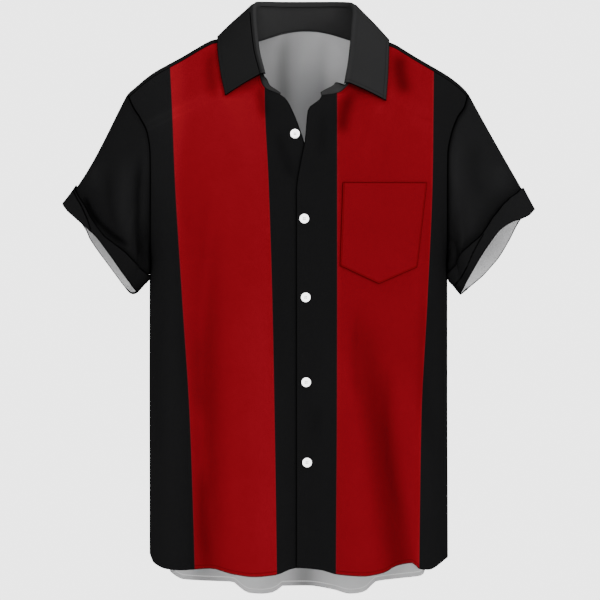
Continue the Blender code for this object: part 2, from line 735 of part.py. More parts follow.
def opening_point(sleeve, angle):
    """Point of the sleeve's opening at an angle round it."""
    outer = np.array(sleeve["outer"])
    lower = np.array(sleeve["lower"])
    middle = (outer + lower) / 2
    half = (outer - lower) / 2
    out = unit(np.array([half[1], -half[0]])) * sleeve["side"]
    if out[1] > 0:
        out = -out
    c = math.cos(math.radians(angle))
    s = math.sin(math.radians(angle))
    flat = middle + half * c + out * read_table(sleeve["lip"], angle, 1)
    turned = math.copysign(abs(s) ** END_POWER, s)
    return np.array([flat[0], BODY_Y - sleeve["half_depth"] * turned, flat[1]])


def sleeve_lines(sleeve, rows):
    """Grid of the sleeve's outer points from the armhole to the opening, the outward directions
    of its first row and the angles of its columns."""
    side = sleeve["side"]
    start, normals = arm_ring(side)
    angles = round_share(start)
    grid = []
    for i in range(rows + 1):
        t = i / rows
        row = []
        for k, angle in enumerate(angles):
            top = (1 + math.cos(math.radians(angle))) / 2
            end = opening_point(sleeve, angle)
            under = ease((-math.cos(math.radians(angle)) - UNDER_ARM) / (1 - UNDER_ARM))
            low = blend(np.array(SIDE_START), np.array(LOW_START), under)
            lead = blend(low, np.array(sleeve["top_start"]), top)
            low = blend(np.array(SIDE_END), np.array(LOW_END), under)
            tail = blend(low, np.array(sleeve["top_end"]), top)
            reach = np.linalg.norm(end - start[k])
            lead = unit(np.array([-side * lead[0], 0, lead[1]])) * reach
            tail = unit(np.array([-side * tail[0], 0, tail[1]])) * reach
            h00 = 2 * t ** 3 - 3 * t ** 2 + 1
            h10 = t ** 3 - 2 * t ** 2 + t
            h11 = t ** 3 - t ** 2
            point = h00 * start[k] + h10 * lead + (1 - h00) * end + h11 * tail
            bend = ease((-math.cos(math.radians(angle)) - ELBOW_FROM) / ELBOW_FADE)
            nearer = ELBOW_NEAR * min(math.sin(math.radians(angle)) ** 2 / ELBOW_TURN, 1.0)
            elbow = np.array([sleeve["elbow"][0] - side * nearer, (start[k][1] + end[1]) / 2,
                              sleeve["elbow"][1]])
            pull = 2 * ELBOW_PULL * t * (1 - t)
            bent = ((1 - t) ** 2 * start[k] + pull * elbow + t ** 2 * end) / (
                (1 - t) ** 2 + pull + t ** 2)
            row.append(blend(point, bent, bend))
        grid.append(row)
    return np.array(grid), normals, angles


def grid_normals(grid, side, closed=True):
    """Outward directions of a grid whose columns run round a tube or along a band."""
    grid = np.array(grid)
    if closed:
        round_way = np.roll(grid, -1, axis=1) - np.roll(grid, 1, axis=1)
    else:
        round_way = np.gradient(grid, axis=1)
    along = np.gradient(grid, axis=0)
    normals = np.cross(round_way, along) * side
    return normals / np.maximum(np.linalg.norm(normals, axis=2, keepdims=True), 1e-12)


def build_sleeve(name, cuff_name, sleeve, material):
    """Sleeve and the cuff that is turned up over its end."""
    grid, seam_normals, angles = sleeve_lines(sleeve, SLEEVE_ROWS)
    side = sleeve["side"]
    normals = grid_normals(grid, side)
    centre = grid[-1].mean(axis=0)
    if np.sum((grid[-1] - centre) * normals[-1]) < 0:
        normals = -normals
    for k, angle in enumerate(angles):
        bend = ease((-math.cos(math.radians(angle)) - ELBOW_FROM) / ELBOW_FADE)
        normals[0, k] = unit(blend(np.array(seam_normals[k]), normals[0, k], bend))
    add_wall(name, grid, grid - normals * CLOTH, material, closed=True)
    fine = sleeve_lines(sleeve, CUFF_LINE_ROWS)[0]
    fine_normals = grid_normals(fine, side)
    if np.sum((fine[-1] - centre) * fine_normals[-1]) < 0:
        fine_normals = -fine_normals
    outer = []
    inner = []
    for i in range(CUFF_ROWS + 1):
        share = i / CUFF_ROWS
        outer_row = []
        inner_row = []
        for k in range(fine.shape[1]):
            line = fine[::-1, k]
            lengths = np.concatenate([[0], np.cumsum(np.linalg.norm(np.diff(line, axis=0),
                                                                    axis=1))])
            reach = min(read_table(sleeve["cuff"], angles[k], 1) * share,
                        lengths[-1] * CUFF_REACH)
            spot = np.array([np.interp(reach, lengths, line[:, c]) for c in range(3)])
            out = np.array([np.interp(reach, lengths, fine_normals[::-1, k][:, c])
                            for c in range(3)])
            out = unit(out)
            stand = LAYER_GAP + read_table(sleeve["stand"], angles[k], 1) * share ** 1.5
            if i == 0:
                spot = spot + unit(line[0] - line[1]) * CUFF_LIP
            inner_row.append(spot + out * stand)
            outer_row.append(spot + out * (stand + CLOTH))
        outer.append(outer_row)
        inner.append(inner_row)
    add_wall(cuff_name, outer, inner, material, closed=True)


# ================================================================ collar
def neck_line():
    """Points, outward directions and directions into the neck hole along the neckline, from
    the right front corner round the back to the left one."""
    places = []
    for way in front_levels():
        angle = edge_place(EDGE_RIGHT, way)
        if body_point(angle, way)[2] > NECK_CORNER["right"]:
            places.append((angle, way))
    for j in range(1, NECK_COLUMNS):
        x, way = neck_way(-90 + 180 * j / NECK_COLUMNS)
        places.append((angle_at(x, way), way))
    for way in front_levels()[::-1]:
        angle = edge_place(EDGE_LEFT, way)
        if body_point(angle, way)[2] > NECK_CORNER["left"]:
            places.append((angle, way))
    points = []
    normals = []
    for angle, way in places:
        point = body_point(angle, way)
        normal = body_normal(angle, way)
        lift = 0.0
        if way > 0:
            lift = (corner_lift if angle < 0 else overlap_lift)(point[0], point[2])
        points.append(point + normal * lift)
        normals.append(normal)
    points = np.array(points)
    normals = np.array(normals)
    into = np.cross(normals, np.gradient(points, axis=0))
    into /= np.linalg.norm(into, axis=1, keepdims=True)
    if np.sum((points.mean(axis=0) - points) * into) < 0:
        into = -into
    return points, normals, into


def between(line):
    """A line with a point added half way along each stretch."""
    line = np.array(line)
    halves = (line[1:] + line[:-1]) / 2
    mixed = np.empty((len(line) + len(halves), line.shape[1]))
    mixed[0::2] = line
    mixed[1::2] = halves
    return mixed


def line_at(line, share):
    """Smooth point of an evenly keyed line of points, share 0 to 1."""
    count = len(line) - 1
    keyed = [(i / count,) + tuple(row) for i, row in enumerate(line)]
    return np.array([read_table(keyed, share, column) for column in (1, 2, 3)])


def body_cloud():
    """Points and outward directions all over the upper body."""
    points = []
    normals = []
    for way in np.linspace(*CLOUD_WAYS):
        for angle in np.linspace(*CLOUD_ANGLES):
            points.append(body_point(angle, way))
            normals.append(body_normal(angle, way))
    return np.array(points), np.array(normals)


def pushed_off(point, cloud, clearance):
    """Point moved out of the body until it is clear of it."""
    for _ in range(3):
        near = int(np.argmin(np.sum((cloud[0] - point) ** 2, axis=1)))
        height = float(np.dot(point - cloud[0][near], cloud[1][near]))
        if height < clearance:
            point = point + cloud[1][near] * (clearance - height)
    return point


def edge_points():
    """The fall's outer edge in space."""
    points = []
    for x, z, face in FALL_EDGE:
        angle, way = (angle_at(x, 0.0), 0.0) if face == "ridge" else place_at(x, z, face == "front")
        lift = COLLAR_REST + (overlap_lift(x, z) if face == "front" and x > 0 else 0.0)
        points.append(body_point(angle, way) + body_normal(angle, way) * lift)
    return points


def build_collar(material):
    """Stand inside the neckline, and the fall that turns over it."""
    neck, normals, into = neck_line()
    neck = between(neck)
    normals = between(normals)
    into = between(into)
    lengths = np.concatenate([[0], np.cumsum(np.linalg.norm(np.diff(neck, axis=0), axis=1))])
    half = len(neck) // 2
    first = np.interp(FOLD_LINE[0][2], neck[:half, 2], lengths[:half])
    last = np.interp(-FOLD_LINE[-1][2], -neck[half:, 2], lengths[half:])
    base = neck + into * STAND_IN - normals * STAND_UNDER

    def frame(share):
        """Fold point, and the directions up along the stand and into the neck there."""
        fold = line_at(FOLD_LINE, share)
        along = line_at(FOLD_LINE, min(share + 0.01, 1)) - line_at(FOLD_LINE, max(share - 0.01, 0))
        where = first + share * (last - first)
        foot = np.array([np.interp(where, lengths, base[:, c]) for c in range(3)])
        up = unit(fold - foot)
        inward = unit(np.cross(along, up))
        if np.dot(inward, np.array([0, -0.01, fold[2]]) - fold) < 0:
            inward = -inward
        return fold, unit(np.cross(inward, along)) * (1 if np.dot(
            np.cross(inward, along), up) > 0 else -1), inward

    columns = []
    for k, foot in enumerate(base):
        share = (lengths[k] - first) / (last - first)
        fold, up, inward = frame(min(max(share, 0.0), 1.0))
        top = fold + inward * STAND_TOP[0] + up * STAND_TOP[1]
        beyond = max(-share, share - 1, 0.0) * (last - first)
        if beyond > 0:
            end_total = first if share < 0 else lengths[-1] - last
            narrow = 1 - STAND_END_TAPER * min(beyond / end_total, 1.0) ** 2
            height = (STAND_END_RIGHT if share < 0 else STAND_END_LEFT) * narrow
            free = foot + unit(into[k] * TAB_WAY[0] + normals[k] * TAB_WAY[1]) * height
            joint = foot + (top - base_near(base, lengths, first if share < 0 else last))
            top = blend(joint, free, ease((beyond - TAB_START) / (end_total * TAB_TURN)))
        columns.append([blend(foot, top, i / STAND_ROWS) for i in range(STAND_ROWS + 1)])
    stand = np.array(columns).transpose(1, 0, 2)
    normal = grid_normals(stand, 1, closed=False)
    if np.sum((stand - stand.mean(axis=(0, 1))) * normal * np.array([1, 1, 0])) < 0:
        normal = -normal
    add_wall("collar_stand", stand, stand - normal * CLOTH, material)

    cloud = body_cloud()
    edge = edge_points()
    grid = []
    for j in range(FALL_COLUMNS + 1):
        share = j / FALL_COLUMNS
        fold, up, inward = frame(share)
        column = [fold + inward * roll_in + up * roll_up for roll_in, roll_up in FOLD_ROLL]
        lip = ease(min(share, 1 - share) / LIP_TAPER)
        column[0] = blend(column[1], column[0], max(lip, LIP_LEAST))
        column[0] = column[0] - inward * (1 - lip) * LIP_SINK
        rim = line_at(edge, share)
        for i in range(1, FALL_ROWS + 1):
            t = i / FALL_ROWS
            bow = math.sin(math.pi * t) * COLLAR_BOW
            spot = blend(column[len(FOLD_ROLL) - 1], rim, t)
            out = unit(np.cross(rim - fold, np.cross(up, inward)))
            if np.dot(out, -inward) < 0:
                out = -out
            spot = spot + out * bow
            clearance = COLLAR_REST + CLOTH
            if spot[0] > 0 and spot[1] < 0:
                clearance += overlap_lift(spot[0], spot[2])
            column.append(pushed_off(spot + out * CLOTH, cloud, clearance))
        grid.append(column)
    outer = np.array(grid).transpose(1, 0, 2)
    normal = grid_normals(outer, 1, closed=False)
    if np.sum((outer - outer.mean(axis=(0, 1))) * normal * np.array([1, 1, 0])) < 0:
        normal = -normal
    add_wall("collar_fall", outer, outer - normal * CLOTH, material)


def base_near(base, lengths, where):
    """Point of the stand's foot at a length along it."""
    return np.array([np.interp(where, lengths, base[:, c]) for c in range(3)])


# ================================================================ pocket and buttons
def front_spot(x, z, out):
    """Point and direction on the left front, moved out."""
    angle, way = place_at(x, z)
    point = body_point(angle, way)
    normal = body_normal(angle, way)
    on_overlap = x > OVERLAP_LINE and z < OVERLAP_TOP
    lift = overlap_lift(point[0], point[2]) if on_overlap else 0.0
    return point + normal * (lift + out), normal


def build_pocket(material):
    """Patch pocket, made from the points of the front that it lies on."""
    corner = {name: np.array(value) for name, value in POCKET.items()}
    outer = []
    inner = []
    for i in range(POCKET_ROWS + 1):
        t = i / POCKET_ROWS
        outer_row = []
        inner_row = []
        for j in range(POCKET_COLUMNS + 1):
            u = j / POCKET_COLUMNS
            top = blend(corner["top_left"], corner["top_right"], u)
            if u < 0.5:
                low = blend(corner["low_left"], corner["tip"], u * 2)
            else:
                low = blend(corner["tip"], corner["low_right"], u * 2 - 1)
            x, z = blend(top, low, t)
            outer_row.append(front_spot(x, z, LAYER_GAP + CLOTH)[0])
            inner_row.append(front_spot(x, z, LAYER_GAP)[0])
        outer.append(outer_row)
        inner.append(inner_row)
    add_wall("pocket", outer, inner, material)


def build_button(name, x, z, material):
    """Turned button with a raised rim, square to the cloth that it is sewn to."""
    if x < OVERLAP_LINE:
        angle, way = place_at(x, z)
        normal = body_normal(angle, way)
        spot = body_point(angle, way) + normal * (corner_lift(x, z) + BUTTON_LIFT)
    else:
        spot, normal = front_spot(x, z, BUTTON_LIFT)
    side_way = unit(np.cross(np.array([0, 0, 1.0]), normal))
    up_way = np.cross(normal, side_way)
    mesh = bmesh.new()
    rings = []
    for across, high in BUTTON_PROFILE:
        r = across * BUTTON_RADIUS
        h = high * BUTTON_THICKNESS
        if r == 0:
            rings.append([mesh.verts.new(tuple(spot + normal * h))])
            continue
        ring = []
        for k in range(BUTTON_SIDES):
            turn = 2 * math.pi * k / BUTTON_SIDES
            ring.append(mesh.verts.new(tuple(spot + normal * h + side_way * r * math.cos(turn)
                                             + up_way * r * math.sin(turn))))
        rings.append(ring)
    for a, b in zip(rings[:-1], rings[1:]):
        for k in range(BUTTON_SIDES):
            m = (k + 1) % BUTTON_SIDES
            if len(a) == 1:
                mesh.faces.new([a[0], b[k], b[m]])
            elif len(b) == 1:
                mesh.faces.new([a[k], b[0], a[m]])
            else:
                mesh.faces.new([a[k], b[k], b[m], a[m]])
    bmesh.ops.recalc_face_normals(mesh, faces=mesh.faces)
    if mesh.calc_volume(signed=True) < 0:
        bmesh.ops.reverse_faces(mesh, faces=mesh.faces)
    data = bpy.data.meshes.new(name)
    mesh.to_mesh(data)
    mesh.free()
    data.materials.append(material)
    data.shade_smooth()
    data.set_sharp_from_angle(angle=math.radians(40))
    shirt.objects.link(bpy.data.objects.new(name, data))


# ================================================================ the shirt
for old in list(bpy.data.objects):
    bpy.data.objects.remove(old, do_unlink=True)

shirt = bpy.data.collections.new("bowling_shirt")
bpy.context.scene.collection.children.link(shirt)

black_cloth = add_material("black_cloth", COLOURS["black"], 0.75)
red_cloth = add_material("red_cloth", COLOURS["red"], 0.75)
white_plastic = add_material("white_plastic", COLOURS["white"], 0.30)

body_wall("front_right", front_grid(-1), red_cloth, corner_lift)
body_wall("front_left", front_grid(1), red_cloth, overlap_lift)
body_wall("back", back_grid(), black_cloth)
build_sleeve("sleeve_right", "cuff_right", SLEEVE_RIGHT, black_cloth)
build_sleeve("sleeve_left", "cuff_left", SLEEVE_LEFT, black_cloth)
build_collar(black_cloth)
build_pocket(red_cloth)
for number, (button_x, button_z) in enumerate(BUTTONS, start=1):
    build_button(f"button_{number}", button_x, button_z, white_plastic)
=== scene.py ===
import math

import bmesh
import bpy
import numpy as np
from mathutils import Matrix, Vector


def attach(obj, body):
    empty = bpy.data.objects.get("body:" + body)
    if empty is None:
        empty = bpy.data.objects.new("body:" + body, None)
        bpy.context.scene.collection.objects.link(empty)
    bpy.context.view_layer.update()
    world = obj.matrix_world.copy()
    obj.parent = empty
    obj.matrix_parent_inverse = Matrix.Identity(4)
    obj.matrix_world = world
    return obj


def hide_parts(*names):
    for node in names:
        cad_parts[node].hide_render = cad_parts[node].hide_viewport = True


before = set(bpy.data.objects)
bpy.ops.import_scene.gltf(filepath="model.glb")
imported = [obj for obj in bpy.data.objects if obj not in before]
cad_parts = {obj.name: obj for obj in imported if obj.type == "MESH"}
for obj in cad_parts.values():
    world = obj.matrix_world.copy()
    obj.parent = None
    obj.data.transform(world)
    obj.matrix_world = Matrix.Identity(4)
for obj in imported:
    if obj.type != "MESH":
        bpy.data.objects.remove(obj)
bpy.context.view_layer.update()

# the shirt's cloth, in metres: +Z up, the front faces -Y, the wearer's left is +X
cloth = dict(
    thickness=0.0009,       # of a body or sleeve panel
    step=0.0042,            # height of a mesh row below the armpit
    lowReach=0.40,          # length of the body below the armpit
    lowest=-0.80,           # no point of the shirt lies lower
    seamWidth=0.0026,       # what a piece lays under the next one at a seam
    seamSink=0.0019,        # and how deep it lies there
    seamDip=0.0005,         # how far cloth sinks at a sewn seam
    sideDip=0.2,            # share of that below the armpit
    underPanels=0.0002,     # how far all panels lie inside the solids' outer form
    middleY=0.003,
    sectionPower=2.6,       # 2 is an ellipse, more is squarer
    shoulderPower=2.2,
    shoulderDrop=dict(front=0.175, back=0.130),
    shoulderWay=dict(front=0.235, back=0.195),
    seamForward=0.024,      # the shoulder seam lies this far in front of the ridge
    foldFlat=2.2,           # how quickly folds start off the side of the body
    armpit=-0.2915,
    armMiddle=-0.150,       # here the armhole comes furthest forward
    armAngle=55.0,          # degrees round from the middle front there
    armTopAngle=62.6,       # and at the shoulder
    armRound=1.8,
    armFade=0.020,          # length over which the side turns into the armhole
    neckRise=0.0380,        # how far the cloth climbs towards the neck
    neckPeak=1.5,
    neckHalf=0.068,
    neckFade=0.120,         # this far down no trace of it is left
    neckBack=0.066,         # depth of the neckline's middle behind
    neckRound=0.9,
    neckStart=0.17)         # way down the front at which the neckline is looked for
# how far the fronts stand off beside their edges
standOff = dict(
    over=0.0026, overFrom=0.030, overRun=0.045,         # along the overlap
    flare=0.0050, flareLow=-0.150, flareRise=0.060, flareFrom=0.004, flareRun=0.030,
    corner=0.0030, cornerLow=-0.125, cornerRise=0.045, cornerFrom=0.010, cornerRun=0.028)
# how creases run, as shares of their length
creaseForm = dict(fade=0.35, start=0.2, bend=0.042)
# painted shade: shares of light that are painted away from the colour, less than 0 paints light on
paintedTones = dict(
    fold=0.26, foldDeep=0.0075, crease=0.24, creaseDeep=0.002,
    frontLeast=-0.05, backLeast=-0.3, most=0.55,
    rightSideLight=-0.32, rightFrom=-0.150, rightRun=0.030,
    leftRedShade=0.15, redEdge=0.002)

# level, front depth, back depth, half width on the right and on the left
bodyTable = [
    (0.000, 0.100, 0.105, 0.2057, 0.1860), (-0.050, 0.112, 0.118, 0.2057, 0.1860),
    (-0.100, 0.124, 0.130, 0.2057, 0.1860), (-0.160, 0.133, 0.137, 0.2057, 0.1860),
    (-0.230, 0.136, 0.139, 0.2057, 0.1860), (-0.300, 0.134, 0.136, 0.2057, 0.1860),
    (-0.450, 0.128, 0.126, 0.2060, 0.1860), (-0.600, 0.125, 0.124, 0.2057, 0.1865),
    (-0.740, 0.126, 0.128, 0.2057, 0.1870)]
# distance out, height of the shoulder ridge
ridgeRight = [(0.000, -0.0015), (0.072, -0.0010), (0.098, 0.0025), (0.112, 0.0028),
              (0.121, 0.0019), (0.130, -0.0019), (0.144, -0.0098), (0.162, -0.0205),
              (0.180, -0.0303), (0.199, -0.0410), (0.212, -0.0505), (0.225, -0.0616),
              (0.237, -0.0718), (0.260, -0.0938)]
ridgeLeft = [(0.000, -0.0015), (0.072, -0.0010), (0.087, 0.0020), (0.106, -0.0006),
             (0.116, -0.0040), (0.129, -0.0116), (0.1415, -0.0194), (0.160, -0.0302),
             (0.177, -0.0400), (0.190, -0.0483), (0.204, -0.0594), (0.214, -0.0696),
             (0.236, -0.0900)]
# level, distance out of the armhole seam on the right and on the left
armSeam = [(0.000, 0.2345, 0.2130), (-0.025, 0.2270, 0.2080), (-0.050, 0.2180, 0.1990),
           (-0.085, 0.2080, 0.1905), (-0.120, 0.2045, 0.1860), (-0.170, 0.2040, 0.1855),
           (-0.292, 0.2046, 0.1856)]
# height, distance across of each front's inner edge
edgeRight = [(0.0050, -0.0672), (-0.0200, -0.0645), (-0.0440, -0.0605), (-0.0566, -0.0575),
             (-0.0640, -0.0520), (-0.0690, -0.0400), (-0.0745, -0.0290), (-0.0937, -0.0174),
             (-0.1320, -0.0030), (-0.1650, 0.0055), (-0.2000, 0.0100), (-0.7500, 0.0110)]
edgeLeft = [(0.0050, 0.0664), (-0.0200, 0.0630), (-0.0440, 0.0590), (-0.0560, 0.0560),
            (-0.0650, 0.0490), (-0.0710, 0.0400), (-0.0748, 0.0205), (-0.0800, 0.0175),
            (-0.0937, 0.0025), (-0.1320, -0.0015), (-0.1650, -0.0080), (-0.2000, -0.0126),
            (-0.7500, -0.0126)]
# distance across, height of the hem
hemFront = [(-0.206, -0.6720), (-0.200, -0.6850), (-0.1825, -0.6932), (-0.165, -0.6945),
            (-0.1476, -0.6934), (-0.1258, -0.6921), (-0.0952, -0.6996), (-0.069, -0.7030),
            (-0.0406, -0.7005), (-0.0122, -0.6910), (0.0206, -0.6940), (0.0402, -0.6995),
            (0.0751, -0.7022), (0.1013, -0.6978), (0.1188, -0.6885), (0.1390, -0.6850),
            (0.1493, -0.6930), (0.1602, -0.6940), (0.187, -0.6780)]
hemBack = [(-0.206, -0.6720), (-0.192, -0.6840), (-0.1835, -0.6895), (-0.1790, -0.6985),
           (-0.1607, -0.7090), (-0.117, -0.7115), (-0.0975, -0.7125), (-0.0865, -0.7205),
           (-0.0770, -0.7270), (-0.0580, -0.7285), (-0.0406, -0.7257), (-0.0318, -0.7180),
           (0.0009, -0.7175), (0.0358, -0.7227), (0.0576, -0.7284), (0.0700, -0.7275),
           (0.0795, -0.7240), (0.0926, -0.7120), (0.120, -0.7080), (0.1537, -0.7035),
           (0.1590, -0.6920), (0.170, -0.6880), (0.187, -0.6780)]
# the large folds: across at the top and at the hem, from and to which height, width, height
foldsFront = [(-0.132, -0.131, -0.200, -0.740, 0.017, -0.0075),
              (0.067, 0.130, -0.340, -0.740, 0.018, -0.0080),
              (-0.070, -0.062, -0.330, -0.740, 0.026, 0.0050),
              (0.036, 0.062, -0.380, -0.740, 0.026, 0.0050),
              (-0.165, -0.168, -0.420, -0.740, 0.016, 0.0045),
              (0.128, 0.160, -0.420, -0.740, 0.015, 0.0045)]
foldsBack = [(-0.110, -0.126, -0.260, -0.740, 0.020, -0.0085),
             (0.098, 0.112, -0.300, -0.740, 0.020, -0.0085),
             (-0.050, -0.062, -0.280, -0.740, 0.028, 0.0060),
             (0.044, 0.060, -0.320, -0.740, 0.028, 0.0060),
             (-0.004, -0.008, -0.100, -0.740, 0.020, -0.0065),
             (-0.150, -0.166, -0.380, -0.740, 0.018, 0.0050),
             (0.140, 0.152, -0.380, -0.740, 0.017, 0.0050),
             (-0.026, -0.030, 0.020, -0.200, 0.012, -0.0030),
             (0.024, 0.022, 0.020, -0.220, 0.012, -0.0030)]
# small creases on top of those: across and height of the two ends, width, height
creasesFront = [(-0.124, -0.010, -0.120, -0.078, 0.0085, -0.0028),
                (0.122, -0.014, 0.131, -0.074, 0.0105, -0.0038),
                (-0.0600, -0.056, -0.0537, -0.104, 0.0060, -0.0030),
                (0.0600, -0.064, 0.0460, -0.126, 0.0085, -0.0036),
                (-0.0370, -0.120, -0.0130, -0.188, 0.0075, -0.0016),
                (0.0260, -0.090, 0.0210, -0.154, 0.0070, -0.0012),
                (-0.1170, -0.190, -0.1160, -0.700, 0.0060, 0.0011),
                (-0.1380, -0.380, -0.1360, -0.500, 0.0080, -0.0012),
                (-0.1320, -0.560, -0.1300, -0.690, 0.0080, -0.0014),
                (0.0680, -0.360, 0.0700, -0.480, 0.0055, -0.0008),
                (0.1060, -0.420, 0.1260, -0.640, 0.0060, -0.0010),
                (0.0160, -0.478, 0.0150, -0.524, 0.0090, -0.0010),
                (-0.1650, -0.130, -0.1550, -0.260, 0.0080, -0.0007),
                (0.1560, -0.330, 0.1640, -0.540, 0.0090, -0.0009),
                (-0.0300, -0.300, -0.0340, -0.460, 0.0080, -0.0006),
                (-0.1860, -0.330, -0.1880, -0.560, 0.0070, -0.0009)]
creasesBack = [(-0.0600, -0.020, -0.1000, -0.120, 0.0100, -0.0016),
               (0.0600, -0.020, 0.1100, -0.130, 0.0100, -0.0016),
               (-0.1500, -0.110, -0.1700, -0.280, 0.0100, -0.0018),
               (0.1400, -0.110, 0.1560, -0.260, 0.0100, -0.0018),
               (-0.0900, -0.230, -0.0800, -0.420, 0.0120, 0.0014),
               (0.0760, -0.260, 0.0700, -0.460, 0.0120, 0.0014),
               (-0.0260, 0.016, -0.0270, -0.090, 0.0080, -0.0016),
               (0.0260, 0.016, 0.0250, -0.090, 0.0080, -0.0016),
               (0.0200, -0.380, 0.0260, -0.600, 0.0100, -0.0012),
               (-0.0300, -0.400, -0.0260, -0.620, 0.0100, -0.0012),
               (0.0440, 0.020, 0.0440, -0.120, 0.0180, 0.0020),
               (0.0000, 0.010, 0.0000, -0.140, 0.0120, 0.0012)]


def readTable(rows, key, column):           # smooth value through a table's rows
    rows = sorted(rows)
    keys = np.array([row[0] for row in rows])
    values = np.array([row[column] for row in rows])
    steps = np.diff(keys)
    slopes = np.diff(values) / steps
    tangents = np.zeros(len(keys))
    for i in range(1, len(keys) - 1):
        if slopes[i - 1] * slopes[i] > 0:
            tangents[i] = 2 * slopes[i - 1] * slopes[i] / (slopes[i - 1] + slopes[i])
    tangents[0] = slopes[0]
    tangents[-1] = slopes[-1]
    key = np.clip(key, keys[0], keys[-1])
    i = np.clip(np.searchsorted(keys, key) - 1, 0, len(keys) - 2)
    t = (key - keys[i]) / steps[i]
    h00 = 2 * t ** 3 - 3 * t ** 2 + 1
    h10 = t ** 3 - 2 * t ** 2 + t
    return (h00 * values[i] + h10 * steps[i] * tangents[i] + (1 - h00) * values[i + 1]
            + (t ** 3 - t ** 2) * steps[i] * tangents[i + 1])


def blend(a, b, t):
    return a + (b - a) * t


def ease(t):
    t = np.clip(t, 0.0, 1.0)
    return t * t * (3 - 2 * t)


def unit(vectors):
    return vectors / np.maximum(np.linalg.norm(vectors, axis=-1, keepdims=True), 1e-12)


def shoulderTurn(way):                      # level and share of the depth, over the shoulder
    way = np.asarray(way, float)
    front = way > 0
    wayFull = np.where(front, cloth["shoulderWay"]["front"], cloth["shoulderWay"]["back"])
    drop = np.where(front, cloth["shoulderDrop"]["front"], cloth["shoulderDrop"]["back"])
    turn = np.minimum(np.abs(way) / wayFull, 1.0) * math.pi / 2
    power = 2 / cloth["shoulderPower"]
    level = -drop * (1 - np.maximum(np.cos(turn), 0.0) ** power)
    level = level - np.maximum(np.abs(way) - wayFull, 0.0)
    return level, np.sin(turn) ** power


def wayOfLevel(level, face):                # the other way round
    level = np.asarray(level, float)
    drop = cloth["shoulderDrop"][face]
    full = cloth["shoulderWay"][face]
    turn = np.arccos(np.clip(1 + np.maximum(level, -drop) / drop, 0, 1)
                     ** (cloth["shoulderPower"] / 2))
    way = np.where(level <= -drop, full - drop - level, full * turn / (math.pi / 2))
    return way if face == "front" else -way


def section(angle):                         # across and ahead on the body's section, up to 1
    across = np.sin(np.radians(angle))
    ahead = np.cos(np.radians(angle))
    power = cloth["sectionPower"]
    size = (np.abs(across) ** power + np.abs(ahead) ** power) ** (1 / power)
    return across / size, ahead / size


def armAngle(level):                        # where the body ends at the armhole or the side
    level = np.asarray(level, float)
    middle = cloth["armMiddle"]
    share = np.clip((middle - level) / (middle - cloth["armpit"]), 0, 1)
    power = cloth["armRound"]
    low = 90 - (90 - cloth["armAngle"]) * (1 - share ** power) ** (1 / power)
    high = cloth["armAngle"] + (cloth["armTopAngle"] - cloth["armAngle"]) * (
        1 - level / middle) ** 2
    return np.where(level < middle, low, high)


def halfWidth(level, right):                # of the body, to the wearer's right or left
    low = np.where(right, readTable(bodyTable, level, 3), readTable(bodyTable, level, 4))
    seam = np.where(right, readTable(armSeam, level, 1), readTable(armSeam, level, 2))
    seam = seam / section(armAngle(level))[0]
    return blend(low, seam, ease((level - cloth["armpit"] + cloth["armFade"]) / cloth["armFade"]))


def ridgeHeight(x, level):                  # what the shoulders and the neck add to the level
    out = np.abs(x)
    rise = np.where(x < 0, readTable(ridgeRight, out, 1), readTable(ridgeLeft, out, 1))
    neck = np.maximum(1 - (x / cloth["neckHalf"]) ** 2, 0.0) ** cloth["neckPeak"]
    neck = cloth["neckRise"] * neck
    return (rise * (1 - ease(level / cloth["armpit"]))
            + neck * (1 - ease(-level / cloth["neckFade"])))


def foldDepth(x, z, folds):                 # starts at its top, full from half way down
    depth = np.zeros(np.shape(x))
    for topX, hemX, start, end, width, height in folds:
        along = (start - z) / (start - end)
        middle = blend(topX, hemX, along)
        strength = np.sin(math.pi * np.clip(along * 2, 0, 1) / 2)
        depth = depth + height * strength * np.exp(-((x - middle) / width) ** 2)
    return depth


def creaseDepth(x, z, creases):             # soft trough or ridge that fades at both ends
    depth = np.zeros(np.shape(x))
    for startX, startZ, endX, endZ, width, height in creases:
        runX, runZ = endX - startX, endZ - startZ
        length = math.hypot(runX, runZ)
        along = ((x - startX) * runX + (z - startZ) * runZ) / length ** 2
        off = ((x - startX) * runZ - (z - startZ) * runX) / length
        fade = (ease(along / creaseForm["fade"] + creaseForm["start"])
                * ease((1 - along) / creaseForm["fade"] + creaseForm["start"]))
        bend = creaseForm["bend"] * length * np.sin(math.pi * np.clip(along, 0, 1))
        depth = depth + height * fade * np.exp(-((off - bend) / width) ** 2)
    return depth


def bodyShade(points, front):               # painted shade: how much darker the cloth is painted in its troughs
    x, z = points[..., 0], points[..., 2]
    folds = foldDepth(x, z, foldsFront if front else foldsBack)
    creases = creaseDepth(x, z, creasesFront if front else creasesBack)
    shade = (-folds / paintedTones["foldDeep"] * paintedTones["fold"]
             - creases / paintedTones["creaseDeep"] * paintedTones["crease"])
    return np.clip(shade, paintedTones["frontLeast"] if front else paintedTones["backLeast"], paintedTones["most"])


def rightSideLight(points):                      # painted light: the wearer's right side is painted lighter, as it lies in more light
    return paintedTones["rightSideLight"] * ease((paintedTones["rightFrom"] - points[..., 0]) / paintedTones["rightRun"])


